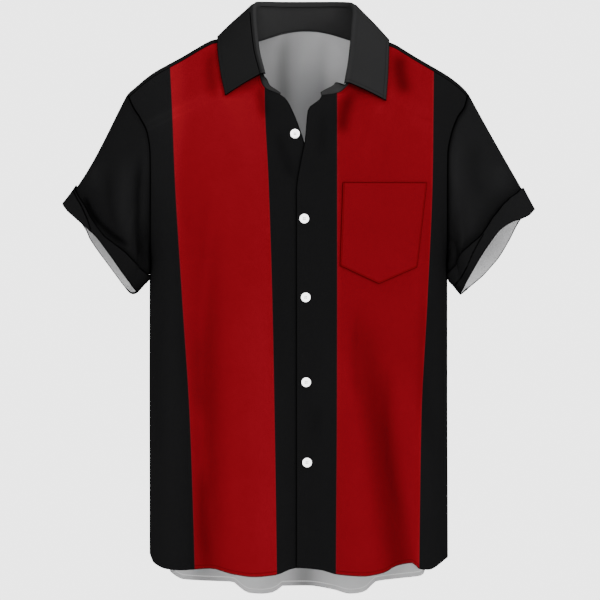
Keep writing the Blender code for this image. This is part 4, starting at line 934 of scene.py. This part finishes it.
sleeveLeft = dict(
    side=1,
    outer=(0.2990, -0.2210),
    lower=(0.2030, -0.3320),
    halfDepth=0.051,
    elbow=(0.1880, -0.3135),
    insideFrom=-0.225,
    insideRun=0.050,
    paintedShade=-0.30,
    seamTone=0.95,
    topStart=(-0.47, -0.88),
    topEnd=(-0.50, -0.866),
    lip=[(0, 0.0), (28, 0.0), (45, -0.0050), (53, -0.0100), (62, -0.0140), (74, -0.0165),
         (90, -0.0150), (105, -0.0125), (127, -0.0076), (155, -0.0025), (180, 0.0),
         (205, 0.0015), (226, 0.0042), (244, 0.0068), (262, 0.0070), (286, 0.0025),
         (303, -0.0025), (315, -0.0046), (332, 0.0), (360, 0.0)],
    cuff=[(0, 0.030), (26, 0.033), (41, 0.032), (52, 0.027), (64, 0.021), (84, 0.0172),
          (90, 0.0172), (108, 0.024), (130, 0.032), (150, 0.030), (165, 0.025), (180, 0.023),
          (230, 0.025), (280, 0.027), (330, 0.029), (360, 0.030)],
    cuffFold=[(88, 0.0160), (108, 0.0134), (134, 0.0100), (156, 0.0123), (168, 0.0130)],
    stand=[(0, 0.0010), (40, 0.0032), (90, 0.0034), (130, 0.0020), (180, 0.0003),
           (210, 0.0010), (250, 0.0030), (310, 0.0030), (360, 0.0010)],
    front=[(0.2240, -0.1300, 0.2270, -0.2100, 0.0100, -0.0009),
           (0.2020, -0.1200, 0.2000, -0.2500, 0.0090, 0.0010),
           (0.1885, -0.1000, 0.1890, -0.3000, 0.0036, -0.0027),
           (0.2540, -0.1600, 0.2620, -0.2060, 0.0130, 0.0010),
           (0.2780, -0.2050, 0.2350, -0.2500, 0.0050, -0.0020),
           (0.2300, -0.2520, 0.2000, -0.2800, 0.0050, -0.0012)],
    back=[(0.2650, -0.1950, 0.2400, -0.2550, 0.0080, -0.0030),
          (0.2350, -0.1500, 0.2250, -0.2700, 0.0090, -0.0022),
          (0.2080, -0.1300, 0.2040, -0.2700, 0.0080, 0.0018),
          (0.1950, -0.1700, 0.1930, -0.2900, 0.0050, -0.0020)])
sleeveCut = dict(
    flat=(0.46, 0.26), rows=56, quickRows=30, inHole=0.0003,
    # how the sides and the underside leave the armhole and meet the opening
    sideStart=(-0.97, -0.24), lowStart=(-0.14, -0.990), underFrom=0.93, underRun=0.07,
    sideEnd=(-0.767, -0.642), lowEnd=(-0.880, -0.475),
    endPower=0.65,                  # less than 1 makes the opening squarer
    # the bend under the arm: how hard, how near the body, how far round it reaches
    elbowPull=2.8, elbowNear=0.0042, elbowWide=0.117, elbowFrom=0.80, elbowRun=0.13,
    turnAway=(0.35, 0.6, 0.85),     # the first rows turn from the armhole's cloth to their own
    # shares of the sleeve over which creases start, and where they end under the cuff
    creaseStart=0.10, creaseSide=0.6, smoothFrom=0.62, smoothRun=0.2,
    # painted shade and light: how creases and the armhole's seam darken or lighten the cloth's
    # colour
    shade=0.42, shadeDeep=0.0020, shadeStart=0.02, shadeSide=2.5, shadeLeast=-0.45,
    shadeMost=0.72, toneLeast=-0.60, toneMost=0.85, seamWidth=0.0042,
    # painted shade of the reverse, deep in the sleeve and towards the opening
    deepTone=0.85, deepRun=0.15, deepSide=0.5, insideTone=0.08, insideEnd=0.26)
cuffCut = dict(
    flat=(0.40, 0.030), rows=14, gap=0.0005, thickness=0.0012,
    longest=0.62,                   # the most of the sleeve that it may cover
    past=0.0012,                    # how far it goes past the sleeve's end
    standPower=1.5, foldDeep=0.0009, foldWidth=0.0012)


def armRing(side):                          # first ring of a sleeve, just inside the armhole
    front, back = armWays("front")[::-1], armWays("back")
    overRidge = np.linspace(0, seamWay, 6)[1:-1]
    ways = np.concatenate([front, back, overRidge])
    angles = side * armAngle(shoulderTurn(ways)[0])
    points = bodyPoint(angles, ways, False)
    normals = bodyNormal(angles, ways, False)
    along = unit(np.roll(points, -1, axis=0) - np.roll(points, 1, axis=0))
    into = unit(np.cross(normals, along)) * side
    return points + into * sleeveCut["inHole"], normals, into


def roundShare(points):                     # 0 at the top, 180 at the bottom, by length
    count = len(points)
    top, low = int(np.argmax(points[:, 2])), int(np.argmin(points[:, 2]))
    order = (top + np.arange(count)) % count
    lengths = np.linalg.norm(points[(order + 1) % count] - points[order], axis=1)
    run = np.concatenate([[0], np.cumsum(lengths)[:-1]])
    half = run[(low - top) % count]
    turned = np.where(run <= half + 1e-9, 180 * run / half,
                      180 + 180 * (run - half) / (lengths.sum() - half))
    angles = np.zeros(count)
    angles[order] = turned
    return angles


def openingPoints(sleeve, angles):
    outer, lower = np.array(sleeve["outer"]), np.array(sleeve["lower"])
    middle, half = (outer + lower) / 2, (outer - lower) / 2
    out = unit(np.array([half[1], -half[0]])) * sleeve["side"]
    out = -out if out[1] > 0 else out
    c, s = np.cos(np.radians(angles))[:, None], np.sin(np.radians(angles))[:, None]
    flat = middle + half * c + out * readTable(sleeve["lip"], angles, 1)[:, None]
    turned = np.sign(s[:, 0]) * np.abs(s[:, 0]) ** sleeveCut["endPower"]
    depth = cloth["middleY"] - sleeve["halfDepth"] * turned
    return np.stack([flat[:, 0], depth, flat[:, 1]], -1)


def sleeveWay(sleeve, angles, key, reach):  # the way the cloth runs at its "Start" or "End"
    lowest = -np.cos(np.radians(angles))
    top = ((1 - lowest) / 2)[:, None]
    under = ease((lowest - sleeveCut["underFrom"]) / sleeveCut["underRun"])[:, None]
    low = blend(np.array(sleeveCut["side" + key]), np.array(sleeveCut["low" + key]), under)
    flat = blend(low, np.array(sleeve["top" + key]), top)
    way = np.stack([-sleeve["side"] * flat[:, 0], np.zeros(len(angles)), flat[:, 1]], -1)
    return unit(way) * reach


def sleeveGrid(sleeve, shares):
    cut, side = sleeveCut, sleeve["side"]
    start, seamNormals, into = armRing(side)
    angles = roundShare(start)
    end = openingPoints(sleeve, angles)
    reach = np.linalg.norm(end - start, axis=1, keepdims=True)
    lead = sleeveWay(sleeve, angles, "Start", reach)
    tail = sleeveWay(sleeve, angles, "End", reach)
    t = np.asarray(shares)[:, None, None]
    h00 = 2 * t ** 3 - 3 * t ** 2 + 1
    grid = (h00 * start + (t ** 3 - 2 * t ** 2 + t) * lead + (1 - h00) * end
            + (t ** 3 - t ** 2) * tail)
    # under the arm the cloth hangs down beside the body, then turns out to the opening
    lowest = -np.cos(np.radians(angles))
    bend = ease((lowest - cut["elbowFrom"]) / cut["elbowRun"])[:, None]
    wide = np.minimum(np.sin(np.radians(angles)) ** 2 / cut["elbowWide"], 1.0)
    elbow = (start + end) / 2
    elbow[:, 0] = sleeve["elbow"][0] - side * (cut["elbowNear"] * wide)
    elbow[:, 2] = sleeve["elbow"][1]
    pull = 2 * cut["elbowPull"] * t * (1 - t)
    bent = ((1 - t) ** 2 * start + pull * elbow + t ** 2 * end) / ((1 - t) ** 2 + pull + t ** 2)
    grid = blend(grid, bent, bend)
    normals = gridNormals(grid, True)
    if np.sum((grid[-1] - grid[-1].mean(axis=0)) * normals[-1]) < 0:
        normals = -normals
    normals[0] = unit(blend(seamNormals, normals[0], bend))
    turnAway = np.array(cut["turnAway"])[:, None, None]
    normals[1:4] = unit(blend(normals[0], normals[1:4], turnAway))
    edge = np.stack([seamNormals, unit(seamNormals - into * bend)])
    return grid, normals, angles, into, edge


def sleeveCreases(sleeve, grid, angles, shares):    # their depth, and the sleeve's painted shade and light
    cut = sleeveCut
    front = creaseDepth(grid[..., 0], grid[..., 2], sleeve["front"])
    back = creaseDepth(grid[..., 0], grid[..., 2], sleeve["back"])
    depth = np.where((angles < 180)[None, :], front, back)
    away = np.abs(np.sin(np.radians(angles)))
    fade = ease(shares / cut["creaseStart"])[:, None]
    shade = -depth * np.minimum(away * cut["shadeSide"], 1.0) / cut["shadeDeep"] * cut["shade"]
    shade = shade * ease(shares / cut["shadeStart"])[:, None]
    seam = np.exp(-(edgeDistances(grid, True)["fromLow"] / cut["seamWidth"]) ** 2)
    shade = (np.clip(shade, cut["shadeLeast"], cut["shadeMost"]) + sleeve["paintedShade"]
             + sleeve["seamTone"] * seam)
    relief = depth * ease(away / cut["creaseSide"]) * fade
    return relief, np.clip(shade, cut["toneLeast"], cut["toneMost"])


def sleeveInside(sleeve, grid, angles, shares):     # painted shade of the reverse seen in the opening
    cut = sleeveCut
    end = np.clip((sleeve["insideFrom"] - grid[..., 2]) / sleeve["insideRun"], 0, 1)
    below = ease(-np.cos(np.radians(angles)) / cut["deepSide"])
    deep = cut["deepTone"] * (1 - ease(shares / cut["deepRun"]))[:, None] * below
    return np.maximum(cut["insideTone"] + cut["insideEnd"] * end, deep)


def makeSleeve(sleeve, node):
    cut = sleeveCut
    shares = np.linspace(0, 1, cut["rows"] + 1)
    grid, normals, angles, into, edge = sleeveGrid(sleeve, shares)
    relief, shade = sleeveCreases(sleeve, grid, angles, shares)
    smooth = 1 - ease((shares[:, None] - cut["smoothFrom"]) / cut["smoothRun"])
    relief = np.where(relief < 0, relief, relief * smooth)      # no ridges under the cuff
    shade = np.where(shade > 0, shade, shade * smooth)
    relief -= seamDip(edgeDistances(grid, True), ("fromLow",))
    outer = grid + normals * (relief - cloth["underPanels"])[..., None]
    area = gridArea(outer, True)
    under = outer[:1] - edge[:1] * cloth["seamSink"]        # two rows under the panels
    outer = np.concatenate([under - into * cloth["seamWidth"], under, outer])
    inner = outer - np.concatenate([edge, normals]) * cloth["thickness"]
    hidden = ((2, 0), (0, 0))
    inside = sleeveInside(sleeve, grid, angles, shares)
    piece = clothSheet("cloth_" + node, outer, inner, [sleeveFinish, reverseFinish], closed=True,
                       extra=dict(shade=np.pad(shade, hidden, mode="edge"),
                                  insideShade=np.pad(inside, hidden, mode="edge")),
                       hidden=hidden)
    sewn(piece, node, cut["flat"], area)
    return grid, normals, angles


def spotsAt(run, rows, reach):              # what lies at this length down each column
    columns = range(len(reach))
    return np.array([[np.interp(reach[k], run[:, k], rows[:, k, c]) for c in range(3)]
                     for k in columns])


def makeCuff(sleeve, node, grid, normals, angles):  # from the sleeve's end back up
    cut = cuffCut
    fromEnd, endNormals = grid[::-1], normals[::-1]
    run = runDown(fromEnd)
    share = np.linspace(0, 1, cut["rows"] + 1)[:, None]
    reaches = np.minimum(readTable(sleeve["cuff"], angles, 1) * share, run[-1] * cut["longest"])
    spots = np.array([spotsAt(run, fromEnd, reach) for reach in reaches])
    outs = unit(np.array([spotsAt(run, endNormals, reach) for reach in reaches]))
    spots[0] = spots[0] + unit(fromEnd[0] - fromEnd[1]) * cut["past"]
    stand = readTable(sleeve["stand"], angles, 1)[None, :] * share ** cut["standPower"]
    inner = spots + outs * (cut["gap"] + stand)[..., None]
    outer = inner + outs * cut["thickness"]
    first, last = sleeve["cuffFold"][0][0], sleeve["cuffFold"][-1][0]
    toFold = edgeDistances(outer, True)["fromLow"] - readTable(sleeve["cuffFold"], angles, 1)
    toFold = np.abs(np.where((angles > first) & (angles < last), toFold, 1.0))
    outer = outer - outs * (cut["foldDeep"] * np.exp(-toFold / cut["foldWidth"]))[..., None]
    # the cuff is painted as light as its sleeve, as painted light
    piece = clothSheet("cloth_" + node, outer, inner, [cuffFinish, cuffFinish], closed=True,
                       extra=dict(toFold=toFold, shade=np.full(toFold.shape, sleeve["paintedShade"])))
    sewn(piece, node, cut["flat"], gridArea(outer, True))


for sleeve, way in ((sleeveRight, "right"), (sleeveLeft, "left")):
    grid, normals, angles = makeSleeve(sleeve, "sleeve_" + way)
    makeCuff(sleeve, "cuff_" + way, grid, normals, angles)
print("sleeves made")


# collar
collarCut = dict(
    tuck=0.0015, under=0.0014, standWall=0.0012, fallWall=0.0014, rest=0.0022, bow=0.0015,
    standFlat=(0.44, 0.045), fallFlat=(0.52, 0.085),
    columns=150, fallRows=22, standRows=10, middleY=-0.01,
    corner=dict(right=-0.0725, left=-0.0770),       # the neckline ends at this height
    # the stand: its top lies a little inside the fold, its ends drop to the fronts' corners
    topIn=0.0026, topDown=0.0032, endTaper=0.6, tabStart=0.001, tabRun=0.35,
    endHeight=dict(right=0.0105, left=0.0165), tabLean=(0.95, 0.3),
    # across, depth and height of the line along which the collar folds
    foldLine=[(-0.0580, -0.0880, -0.0440), (-0.0665, -0.0650, -0.0110),
              (-0.0702, -0.0350, 0.0220), (-0.0715, 0.0040, 0.0434), (-0.0675, 0.0450, 0.0503),
              (-0.0380, 0.0690, 0.0508), (0.0000, 0.0745, 0.0510), (0.0360, 0.0690, 0.0506),
              (0.0622, 0.0450, 0.0498), (0.0665, 0.0040, 0.0425), (0.0648, -0.0350, 0.0180),
              (0.0612, -0.0680, -0.0180), (0.0550, -0.0970, -0.0560)],
    # across and height of the fall's edge, and where it lies
    edge=[(-0.1052, -0.0745, "front"), (-0.1120, -0.0430, "front"), (-0.1155, -0.0120, "front"),
          (-0.1155, 0.0, "ridge"), (-0.1020, -0.0030, "back"), (-0.0580, -0.0090, "back"),
          (0.0000, -0.0110, "back"), (0.0540, -0.0090, "back"), (0.0940, -0.0030, "back"),
          (0.1075, 0.0, "ridge"), (0.1080, -0.0150, "front"), (0.1070, -0.0460, "front"),
          (0.1042, -0.0812, "front")],
    # how far inwards and up from the fold line the roll runs, row by row
    roll=[(0.0057, -0.0070), (0.0058, -0.0038), (0.0055, -0.0012), (0.0042, 0.0003),
          (0.0024, 0.0007), (0.0006, -0.0002)],
    rollEnds=0.12, rollLeast=0.25, rollBack=0.0002,
    # the points of the shirt that the fall is kept clear of: from, to, how many
    cloudWays=(-0.17, 0.21, 150), cloudAngles=(-62, 62, 130),
    # painted shade and light on the wearer's right and left, of the fall, of its roll and at the
    # roll's edge; and how the fold's painted dark line fades high up and on the wearer's left
    toneFrom=-0.055, toneRun=0.110, fallTone=(0.32, -0.16), rollTone=(-0.66, -0.36),
    edgeTone=-0.2, foldFade=0.004, foldLow=0.036, foldRun=0.008, foldLeft=0.0011)


def neckLine():                             # points round the neckline, right corner to left
    steps = 60
    fine = np.linspace(cloth["neckStart"], seamWay, steps)
    x, behind = neckWay(np.linspace(-90, 90, steps)[1:-1])
    angles, ways = [angleAt(x, behind)], [behind]
    for edge, side in ((edgeRight, "right"), (edgeLeft, "left")):
        angle = edgePlace(edge, fine)
        keep = bodyPoint(angle, fine, False)[:, 2] > collarCut["corner"][side]
        if side == "right":
            angles, ways = [angle[keep]] + angles, [fine[keep]] + ways
        else:
            angles, ways = angles + [angle[keep][::-1]], ways + [fine[keep][::-1]]
    angle, way = np.concatenate(angles), np.concatenate(ways)
    points = bodyPoint(angle, way, False)
    normals = bodyNormal(angle, way, False)
    x, z = points[:, 0], points[:, 2]
    lift = np.where(way > 0, np.where(angle < 0, cornerLift(x, z), overlapLift(x, z)), 0)
    points = points + normals * lift[:, None]
    into = unit(np.cross(normals, np.gradient(points, axis=0)))
    if np.sum((points.mean(axis=0) - points) * into) < 0:
        into = -into
    return points, normals, into


def resampled(lengths, values, wanted):
    return np.stack([np.interp(wanted, lengths, values[:, c]) for c in range(3)], -1)


def smoothLine(line, shares):
    count = len(line) - 1
    keyed = [(i / count,) + tuple(row) for i, row in enumerate(line)]
    return np.stack([readTable(keyed, shares, column) for column in (1, 2, 3)], -1)


def collarLine():                           # what the stand and the fall are both made along
    cut = collarCut
    neck, normals, into = neckLine()
    lengths = np.concatenate([[0], np.cumsum(np.linalg.norm(np.diff(neck, axis=0), axis=1))])
    half = len(neck) // 2
    lowRight, lowLeft = cut["foldLine"][0][2], cut["foldLine"][-1][2]
    return dict(base=neck - into * cut["tuck"] - normals * cut["under"], normals=normals,
                into=into, lengths=lengths,
                first=np.interp(lowRight, neck[:half, 2], lengths[:half]),
                last=np.interp(-lowLeft, -neck[half:, 2], lengths[half:]))


def facing(vectors, towards):               # each one turned round if it points away
    return vectors * np.where(np.sum(vectors * towards, -1, keepdims=True) < 0, -1, 1)


def foldFrame(line, share):                 # the fold's points, the ways up and inward there
    share = np.clip(share, 0, 1)
    fold, step = collarCut["foldLine"], 0.01
    point = smoothLine(fold, share)
    along = (smoothLine(fold, np.minimum(share + step, 1))
             - smoothLine(fold, np.maximum(share - step, 0)))
    first, last = line["first"], line["last"]
    up = unit(point - resampled(line["lengths"], line["base"], first + share * (last - first)))
    ahead = collarCut["middleY"] - point[:, 1]
    toMiddle = np.stack([-point[:, 0], ahead, np.zeros(len(point))], -1)
    inward = facing(unit(np.cross(along, up)), toMiddle)
    return point, facing(unit(np.cross(inward, along)), up), inward


def collarNormals(grid):
    normals = gridNormals(grid, False)
    outwards = np.sum((grid - grid.mean(axis=(0, 1))) * normals * np.array([1, 1, 0]))
    return -normals if outwards < 0 else normals


def makeStand(line):                        # its two ends drop to the corners of the fronts
    cut = collarCut
    lengths, first, last = line["lengths"], line["first"], line["last"]
    wanted = np.linspace(0, lengths[-1], cut["columns"] + 1)
    foot = resampled(lengths, line["base"], wanted)
    out = unit(resampled(lengths, line["normals"], wanted))
    inHole = unit(resampled(lengths, line["into"], wanted))
    share = (wanted - first) / (last - first)
    point, rise, inward = foldFrame(line, share)
    top = point + inward * cut["topIn"] - rise * cut["topDown"]
    beyond = np.maximum(np.maximum(-share, share - 1), 0) * (last - first)
    total = np.where(share < 0, first, lengths[-1] - last)
    height = np.where(share < 0.5, cut["endHeight"]["right"], cut["endHeight"]["left"])
    height = height * (1 - cut["endTaper"] * np.clip(beyond / total, 0, 1) ** 2)
    leanIn, leanOut = cut["tabLean"]
    free = foot + unit(inHole * leanIn + out * leanOut) * height[:, None]
    foldFoot = resampled(lengths, line["base"], np.where(share < 0, first, last))
    joint = foot + (top - foldFoot)
    drop = ease((beyond - cut["tabStart"]) / (total * cut["tabRun"]))[:, None]
    top = np.where(beyond[:, None] > 0, blend(joint, free, drop), top)
    stand = blend(foot[None], top[None], np.linspace(0, 1, cut["standRows"] + 1)[:, None, None])
    inner = stand - collarNormals(stand) * cut["standWall"]
    piece = clothSheet("cloth_collar_stand", stand, inner, [standFinish, standFinish])
    sewn(piece, "collar_stand", cut["standFlat"], gridArea(stand))


def fallEdge(share):                        # the fall's edge, resting on the shirt
    points = []
    for x, z, face in collarCut["edge"]:
        angle, way = (angleAt(x, 0.0), 0.0) if face == "ridge" else placeAt(x, z, face)
        overlapped = face == "front" and x > 0
        lift = collarCut["rest"] + (overlapLift(x, z) if overlapped else 0.0)
        points.append(bodyPoint(angle, way, False) + bodyNormal(angle, way, False) * lift)
    return smoothLine(points, share)


def clearOfShirt(spot, cloud, cloudNormals):        # moved out where it would dip into it
    overlapped = (spot[:, 0] > 0) & (spot[:, 1] < 0)
    clear = collarCut["rest"] + collarCut["fallWall"] + np.where(
        overlapped, overlapLift(spot[:, 0], spot[:, 2]), 0)
    for _ in range(3):
        near = np.argmin(((spot[:, None] - cloud[None]) ** 2).sum(-1), 1)
        height = np.sum((spot - cloud[near]) * cloudNormals[near], -1)
        spot = spot + cloudNormals[near] * np.maximum(clear - height, 0)[:, None]
    return spot


def fallShade(fall, rollRows):              # painted shade and light: lighter on the wearer's left, and along the roll
    cut = collarCut
    leftward = ease((fall[..., 0] - cut["toneFrom"]) / cut["toneRun"])
    shade = blend(*cut["fallTone"], leftward)
    shade[:rollRows - 1] = blend(*cut["rollTone"], leftward[0])
    shade[rollRows - 1] = shade[rollRows] + cut["edgeTone"]
    away = edgeDistances(fall)["fromLow"]
    toFold = np.abs(away - away[rollRows])
    toFold = toFold + cut["foldFade"] * ease((fall[..., 2] - cut["foldLow"]) / cut["foldRun"])
    return shade, toFold + cut["foldLeft"] * leftward


def makeFall(line):                         # rolled over the stand and lying on the shoulders
    cut = collarCut
    ways, angles = np.meshgrid(np.linspace(*cut["cloudWays"]), np.linspace(*cut["cloudAngles"]))
    cloud = bodyPoint(angles, ways).reshape(-1, 3)
    cloudNormals = bodyNormal(angles, ways).reshape(-1, 3)
    share = np.linspace(0, 1, cut["columns"] + 1)
    point, rise, inward = foldFrame(line, share)
    rim = fallEdge(share)
    full = ease(np.minimum(share, 1 - share) / cut["rollEnds"])[:, None]
    rows = [point + inward * rollIn + rise * rollUp for rollIn, rollUp in cut["roll"]]
    apart = np.maximum(full, cut["rollLeast"])
    rows[0] = blend(rows[2], rows[0], apart) - inward * (1 - full) * cut["rollBack"]
    rows[1] = blend(rows[2], rows[1], apart)
    outward = facing(unit(np.cross(rim - point, np.cross(rise, inward))), -inward)
    start = rows[-1]
    for i in range(1, cut["fallRows"] + 1):
        t = i / cut["fallRows"]
        off = math.sin(math.pi * t) * cut["bow"] + cut["fallWall"]
        rows.append(clearOfShirt(blend(start, rim, t) + outward * off, cloud, cloudNormals))
    fall = np.array(rows)
    shade, toFold = fallShade(fall, len(cut["roll"]))
    inner = fall - collarNormals(fall) * cut["fallWall"]
    piece = clothSheet("cloth_collar_fall", fall, inner, [collarFinish, collarFinish],
                       extra=dict(shade=shade, toFold=toFold))
    sewn(piece, "collar_fall", cut["fallFlat"], gridArea(fall))


line = collarLine()
makeStand(line)
makeFall(line)
print("collar made")


# pocket
pocketCut = dict(
    corners=dict(topLeft=(0.0478, -0.187), topRight=(0.158, -0.187), lowRight=(0.145, -0.2976),
                 tip=(0.095, -0.3195), lowLeft=(0.044, -0.2957)),
    flat=(0.115, 0.16), columns=34, rows=38, gap=0.0005, wall=0.0010, paintedShade=0.14,
    edgeSink=0.4, edgeReach=0.003)          # the side edges are pressed down by this share


def frontSpot(x, z, out):                   # point on the left front, moved out
    angle, way = placeAt(x, z)
    point = bodyPoint(angle, way)
    normal = bodyNormal(angle, way)
    return point + normal * (overlapLift(x, z) + out)[..., None], normal


def makePocket():
    cut = pocketCut
    corner = {key: np.array(place) for key, place in cut["corners"].items()}
    u = np.linspace(0, 1, cut["columns"] + 1)[None, :, None]
    t = np.linspace(0, 1, cut["rows"] + 1)[:, None, None]
    top = blend(corner["topLeft"], corner["topRight"], u)
    low = np.where(u < 0.5, blend(corner["lowLeft"], corner["tip"], u * 2),
                   blend(corner["tip"], corner["lowRight"], u * 2 - 1))
    flat = blend(top, low, t)
    outer, normal = frontSpot(flat[..., 0], flat[..., 1], cut["gap"] + cut["wall"])
    distances = edgeDistances(outer)
    fromSide = np.minimum(distances["fromStart"], distances["fromEnd"])
    sink = cut["wall"] * cut["edgeSink"] * (1 - ease(fromSide / cut["edgeReach"]))
    outer = outer - normal * sink[..., None]
    # the pocket is painted a little darker all over, as painted shade
    piece = clothSheet("cloth_pocket", outer, outer - normal * cut["wall"],
                       [pocketFinish, pocketFinish],
                       extra=dict(shade=np.full(outer.shape[:2], cut["paintedShade"])))
    sewn(piece, "pocket", cut["flat"], gridArea(outer))


makePocket()
print("pocket made")


# buttons
buttonCut = dict(
    radius=0.0061, thick=0.0030, lift=0.0006, round=0.0006,
    rim=0.24, slope=0.12, hollow=0.28,      # shares of the radius, and of the thickness
    holes=0.0008, spread=0.0014, drillLength=0.010, drillHeight=0.001,
    threadRadius=0.00042, threadHeight=0.00246,
    colour=(0.95, 0.95, 0.94, 1), threadColour=(0.70, 0.70, 0.68, 1),
    openSide=-0.010,            # a button further to the right is sewn to the right front
    places=[(-0.0144, -0.1235), (-0.0023, -0.2342), (-0.0004, -0.3370), (0.0003, -0.4480),
            (0.0015, -0.5530)])

buttonFinish = Finish("white_button", 0.28, 0.5, buttonCut["colour"]).material
threadFinish = Finish("button_thread", 0.8, 0.2, buttonCut["threadColour"]).material


def onlySelect(*pieces):
    bpy.ops.object.select_all(action="DESELECT")
    for piece in pieces:
        piece.select_set(True)
    if pieces:
        bpy.context.view_layer.objects.active = pieces[0]


def addRod(vertices, radius, depth, location, rotation=(0, 0, 0)):
    onlySelect()
    bpy.ops.mesh.primitive_cylinder_add(vertices=vertices, radius=radius, depth=depth,
                                        location=location, rotation=rotation)
    return bpy.context.object


def applied(piece, kind, **settings):
    modifier = piece.modifiers.new(kind.lower(), kind)
    for key, value in settings.items():
        setattr(modifier, key, value)
    onlySelect(piece)
    bpy.ops.object.modifier_apply(modifier=modifier.name)


def modelButton():                          # lies flat, its back at z = 0
    cut = buttonCut
    button = addRod(48, cut["radius"], cut["thick"], (0, 0, cut["thick"] / 2))
    bpy.ops.object.mode_set(mode="EDIT")
    bpy.ops.mesh.select_all(action="DESELECT")
    mesh = bmesh.from_edit_mesh(button.data)
    for face in mesh.faces:
        face.select = face.normal.z > 0.9
    bmesh.update_edit_mesh(button.data)
    bpy.ops.mesh.inset(thickness=cut["radius"] * cut["rim"], depth=0)
    bpy.ops.mesh.inset(thickness=cut["radius"] * cut["slope"],
                       depth=-cut["thick"] * cut["hollow"])
    bpy.ops.object.mode_set(mode="OBJECT")
    applied(button, "BEVEL", width=cut["round"], segments=3, limit_method="ANGLE")
    for turn in range(4):
        angle = math.pi / 4 + turn * math.pi / 2
        spot = (cut["spread"] * math.cos(angle), cut["spread"] * math.sin(angle),
                cut["drillHeight"])
        drill = addRod(16, cut["holes"], cut["drillLength"], spot)
        applied(button, "BOOLEAN", operation="DIFFERENCE", object=drill)
        bpy.data.objects.remove(drill, do_unlink=True)
    button.data.materials.clear()
    button.data.materials.append(buttonFinish)
    return button


def modelThread():                          # two crossed stitches through the holes
    cut = buttonCut
    strands = [addRod(10, cut["threadRadius"], cut["spread"] * 2, (0, 0, cut["threadHeight"]),
                      (math.pi / 2, 0, turn)) for turn in (math.pi / 4, -math.pi / 4)]
    onlySelect(*strands)
    bpy.ops.object.join()
    bpy.ops.object.transform_apply(location=True, rotation=True, scale=True)
    thread = bpy.context.object
    thread.data.materials.clear()
    thread.data.materials.append(threadFinish)
    return thread


def buttonPlace(x, z):                      # how it is turned and where it goes
    angle, way = placeAt(x, z)
    normal = bodyNormal(angle, way, False)
    standsOff = cornerLift if x < buttonCut["openSide"] else overlapLift
    spot = bodyPoint(angle, way, False) + normal * (standsOff(x, z) + buttonCut["lift"])
    turned = Vector(normal).to_track_quat("Z", "Y").to_matrix().to_4x4()
    turned.translation = Vector(spot)
    return turned


def placedCopy(piece, name, place):
    copy = bpy.data.objects.new(name, piece.data.copy())
    copy.data.transform(place)
    copy.data.shade_smooth()
    copy.data.set_sharp_from_angle(angle=math.radians(35))
    bpy.context.scene.collection.objects.link(copy)
    return copy


modelled = modelButton()
thread = modelThread()
for number, (x, z) in enumerate(buttonCut["places"], start=1):
    place = buttonPlace(x, z)
    button = placedCopy(modelled, f"white_button_{number}", place)
    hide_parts(f"button_{number}")
    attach(button, "root")
    stitched = placedCopy(thread, f"thread_{number}", place)
    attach(stitched, "root")
bpy.data.objects.remove(modelled, do_unlink=True)
bpy.data.objects.remove(thread, do_unlink=True)
print("buttons made")


# studio
studio = dict(
    aim=(-0.00786, 0.0, -0.3406), away=25.0, lens=1142.0, sensor=36.0, clipEnd=60.0,
    floorHeight=-0.80, floorRadius=1.45, floorColour=(0.86, 0.86, 0.86, 1),
    lights=dict(front_light=((2.0, -3.2, 1.1), 225.0), top_light=((0.4, -0.4, 2.6), 80.0)),
    lightSize=2.0, backdrop=3.5)
camera = bpy.data.objects.new("camera", bpy.data.cameras.new("camera"))
bpy.context.scene.collection.objects.link(camera)
camera.location = (studio["aim"][0], -studio["away"], studio["aim"][2])
camera.rotation_euler = (math.pi / 2, 0, 0)
camera.data.lens = studio["lens"]
camera.data.sensor_width = studio["sensor"]
camera.data.clip_end = studio["clipEnd"]
bpy.context.scene.camera = camera

onlySelect()
bpy.ops.mesh.primitive_circle_add(vertices=96, radius=studio["floorRadius"], fill_type="NGON",
                                  location=(0, 0, studio["floorHeight"]))
floor = bpy.context.object
floor.name = "studio_floor"
floor.data.materials.append(Finish("floor_paper", 0.9, 0.2, studio["floorColour"]).material)

for name, (place, power) in studio["lights"].items():
    light = bpy.data.objects.new(name, bpy.data.lights.new(name, "AREA"))
    light.data.shape = "SQUARE"
    light.data.size = studio["lightSize"]
    light.data.energy = power
    light.location = place
    aim = Vector(studio["aim"]) - Vector(place)
    light.rotation_euler = aim.to_track_quat("-Z", "Y").to_euler()
    bpy.context.scene.collection.objects.link(light)
world = bpy.data.worlds.new("studio")
world.use_nodes = True
backdrop = world.node_tree.nodes["Background"]
backdrop.inputs["Color"].default_value = (1, 1, 1, 1)
backdrop.inputs["Strength"].default_value = studio["backdrop"]
bpy.context.scene.world = world
print("studio ready")
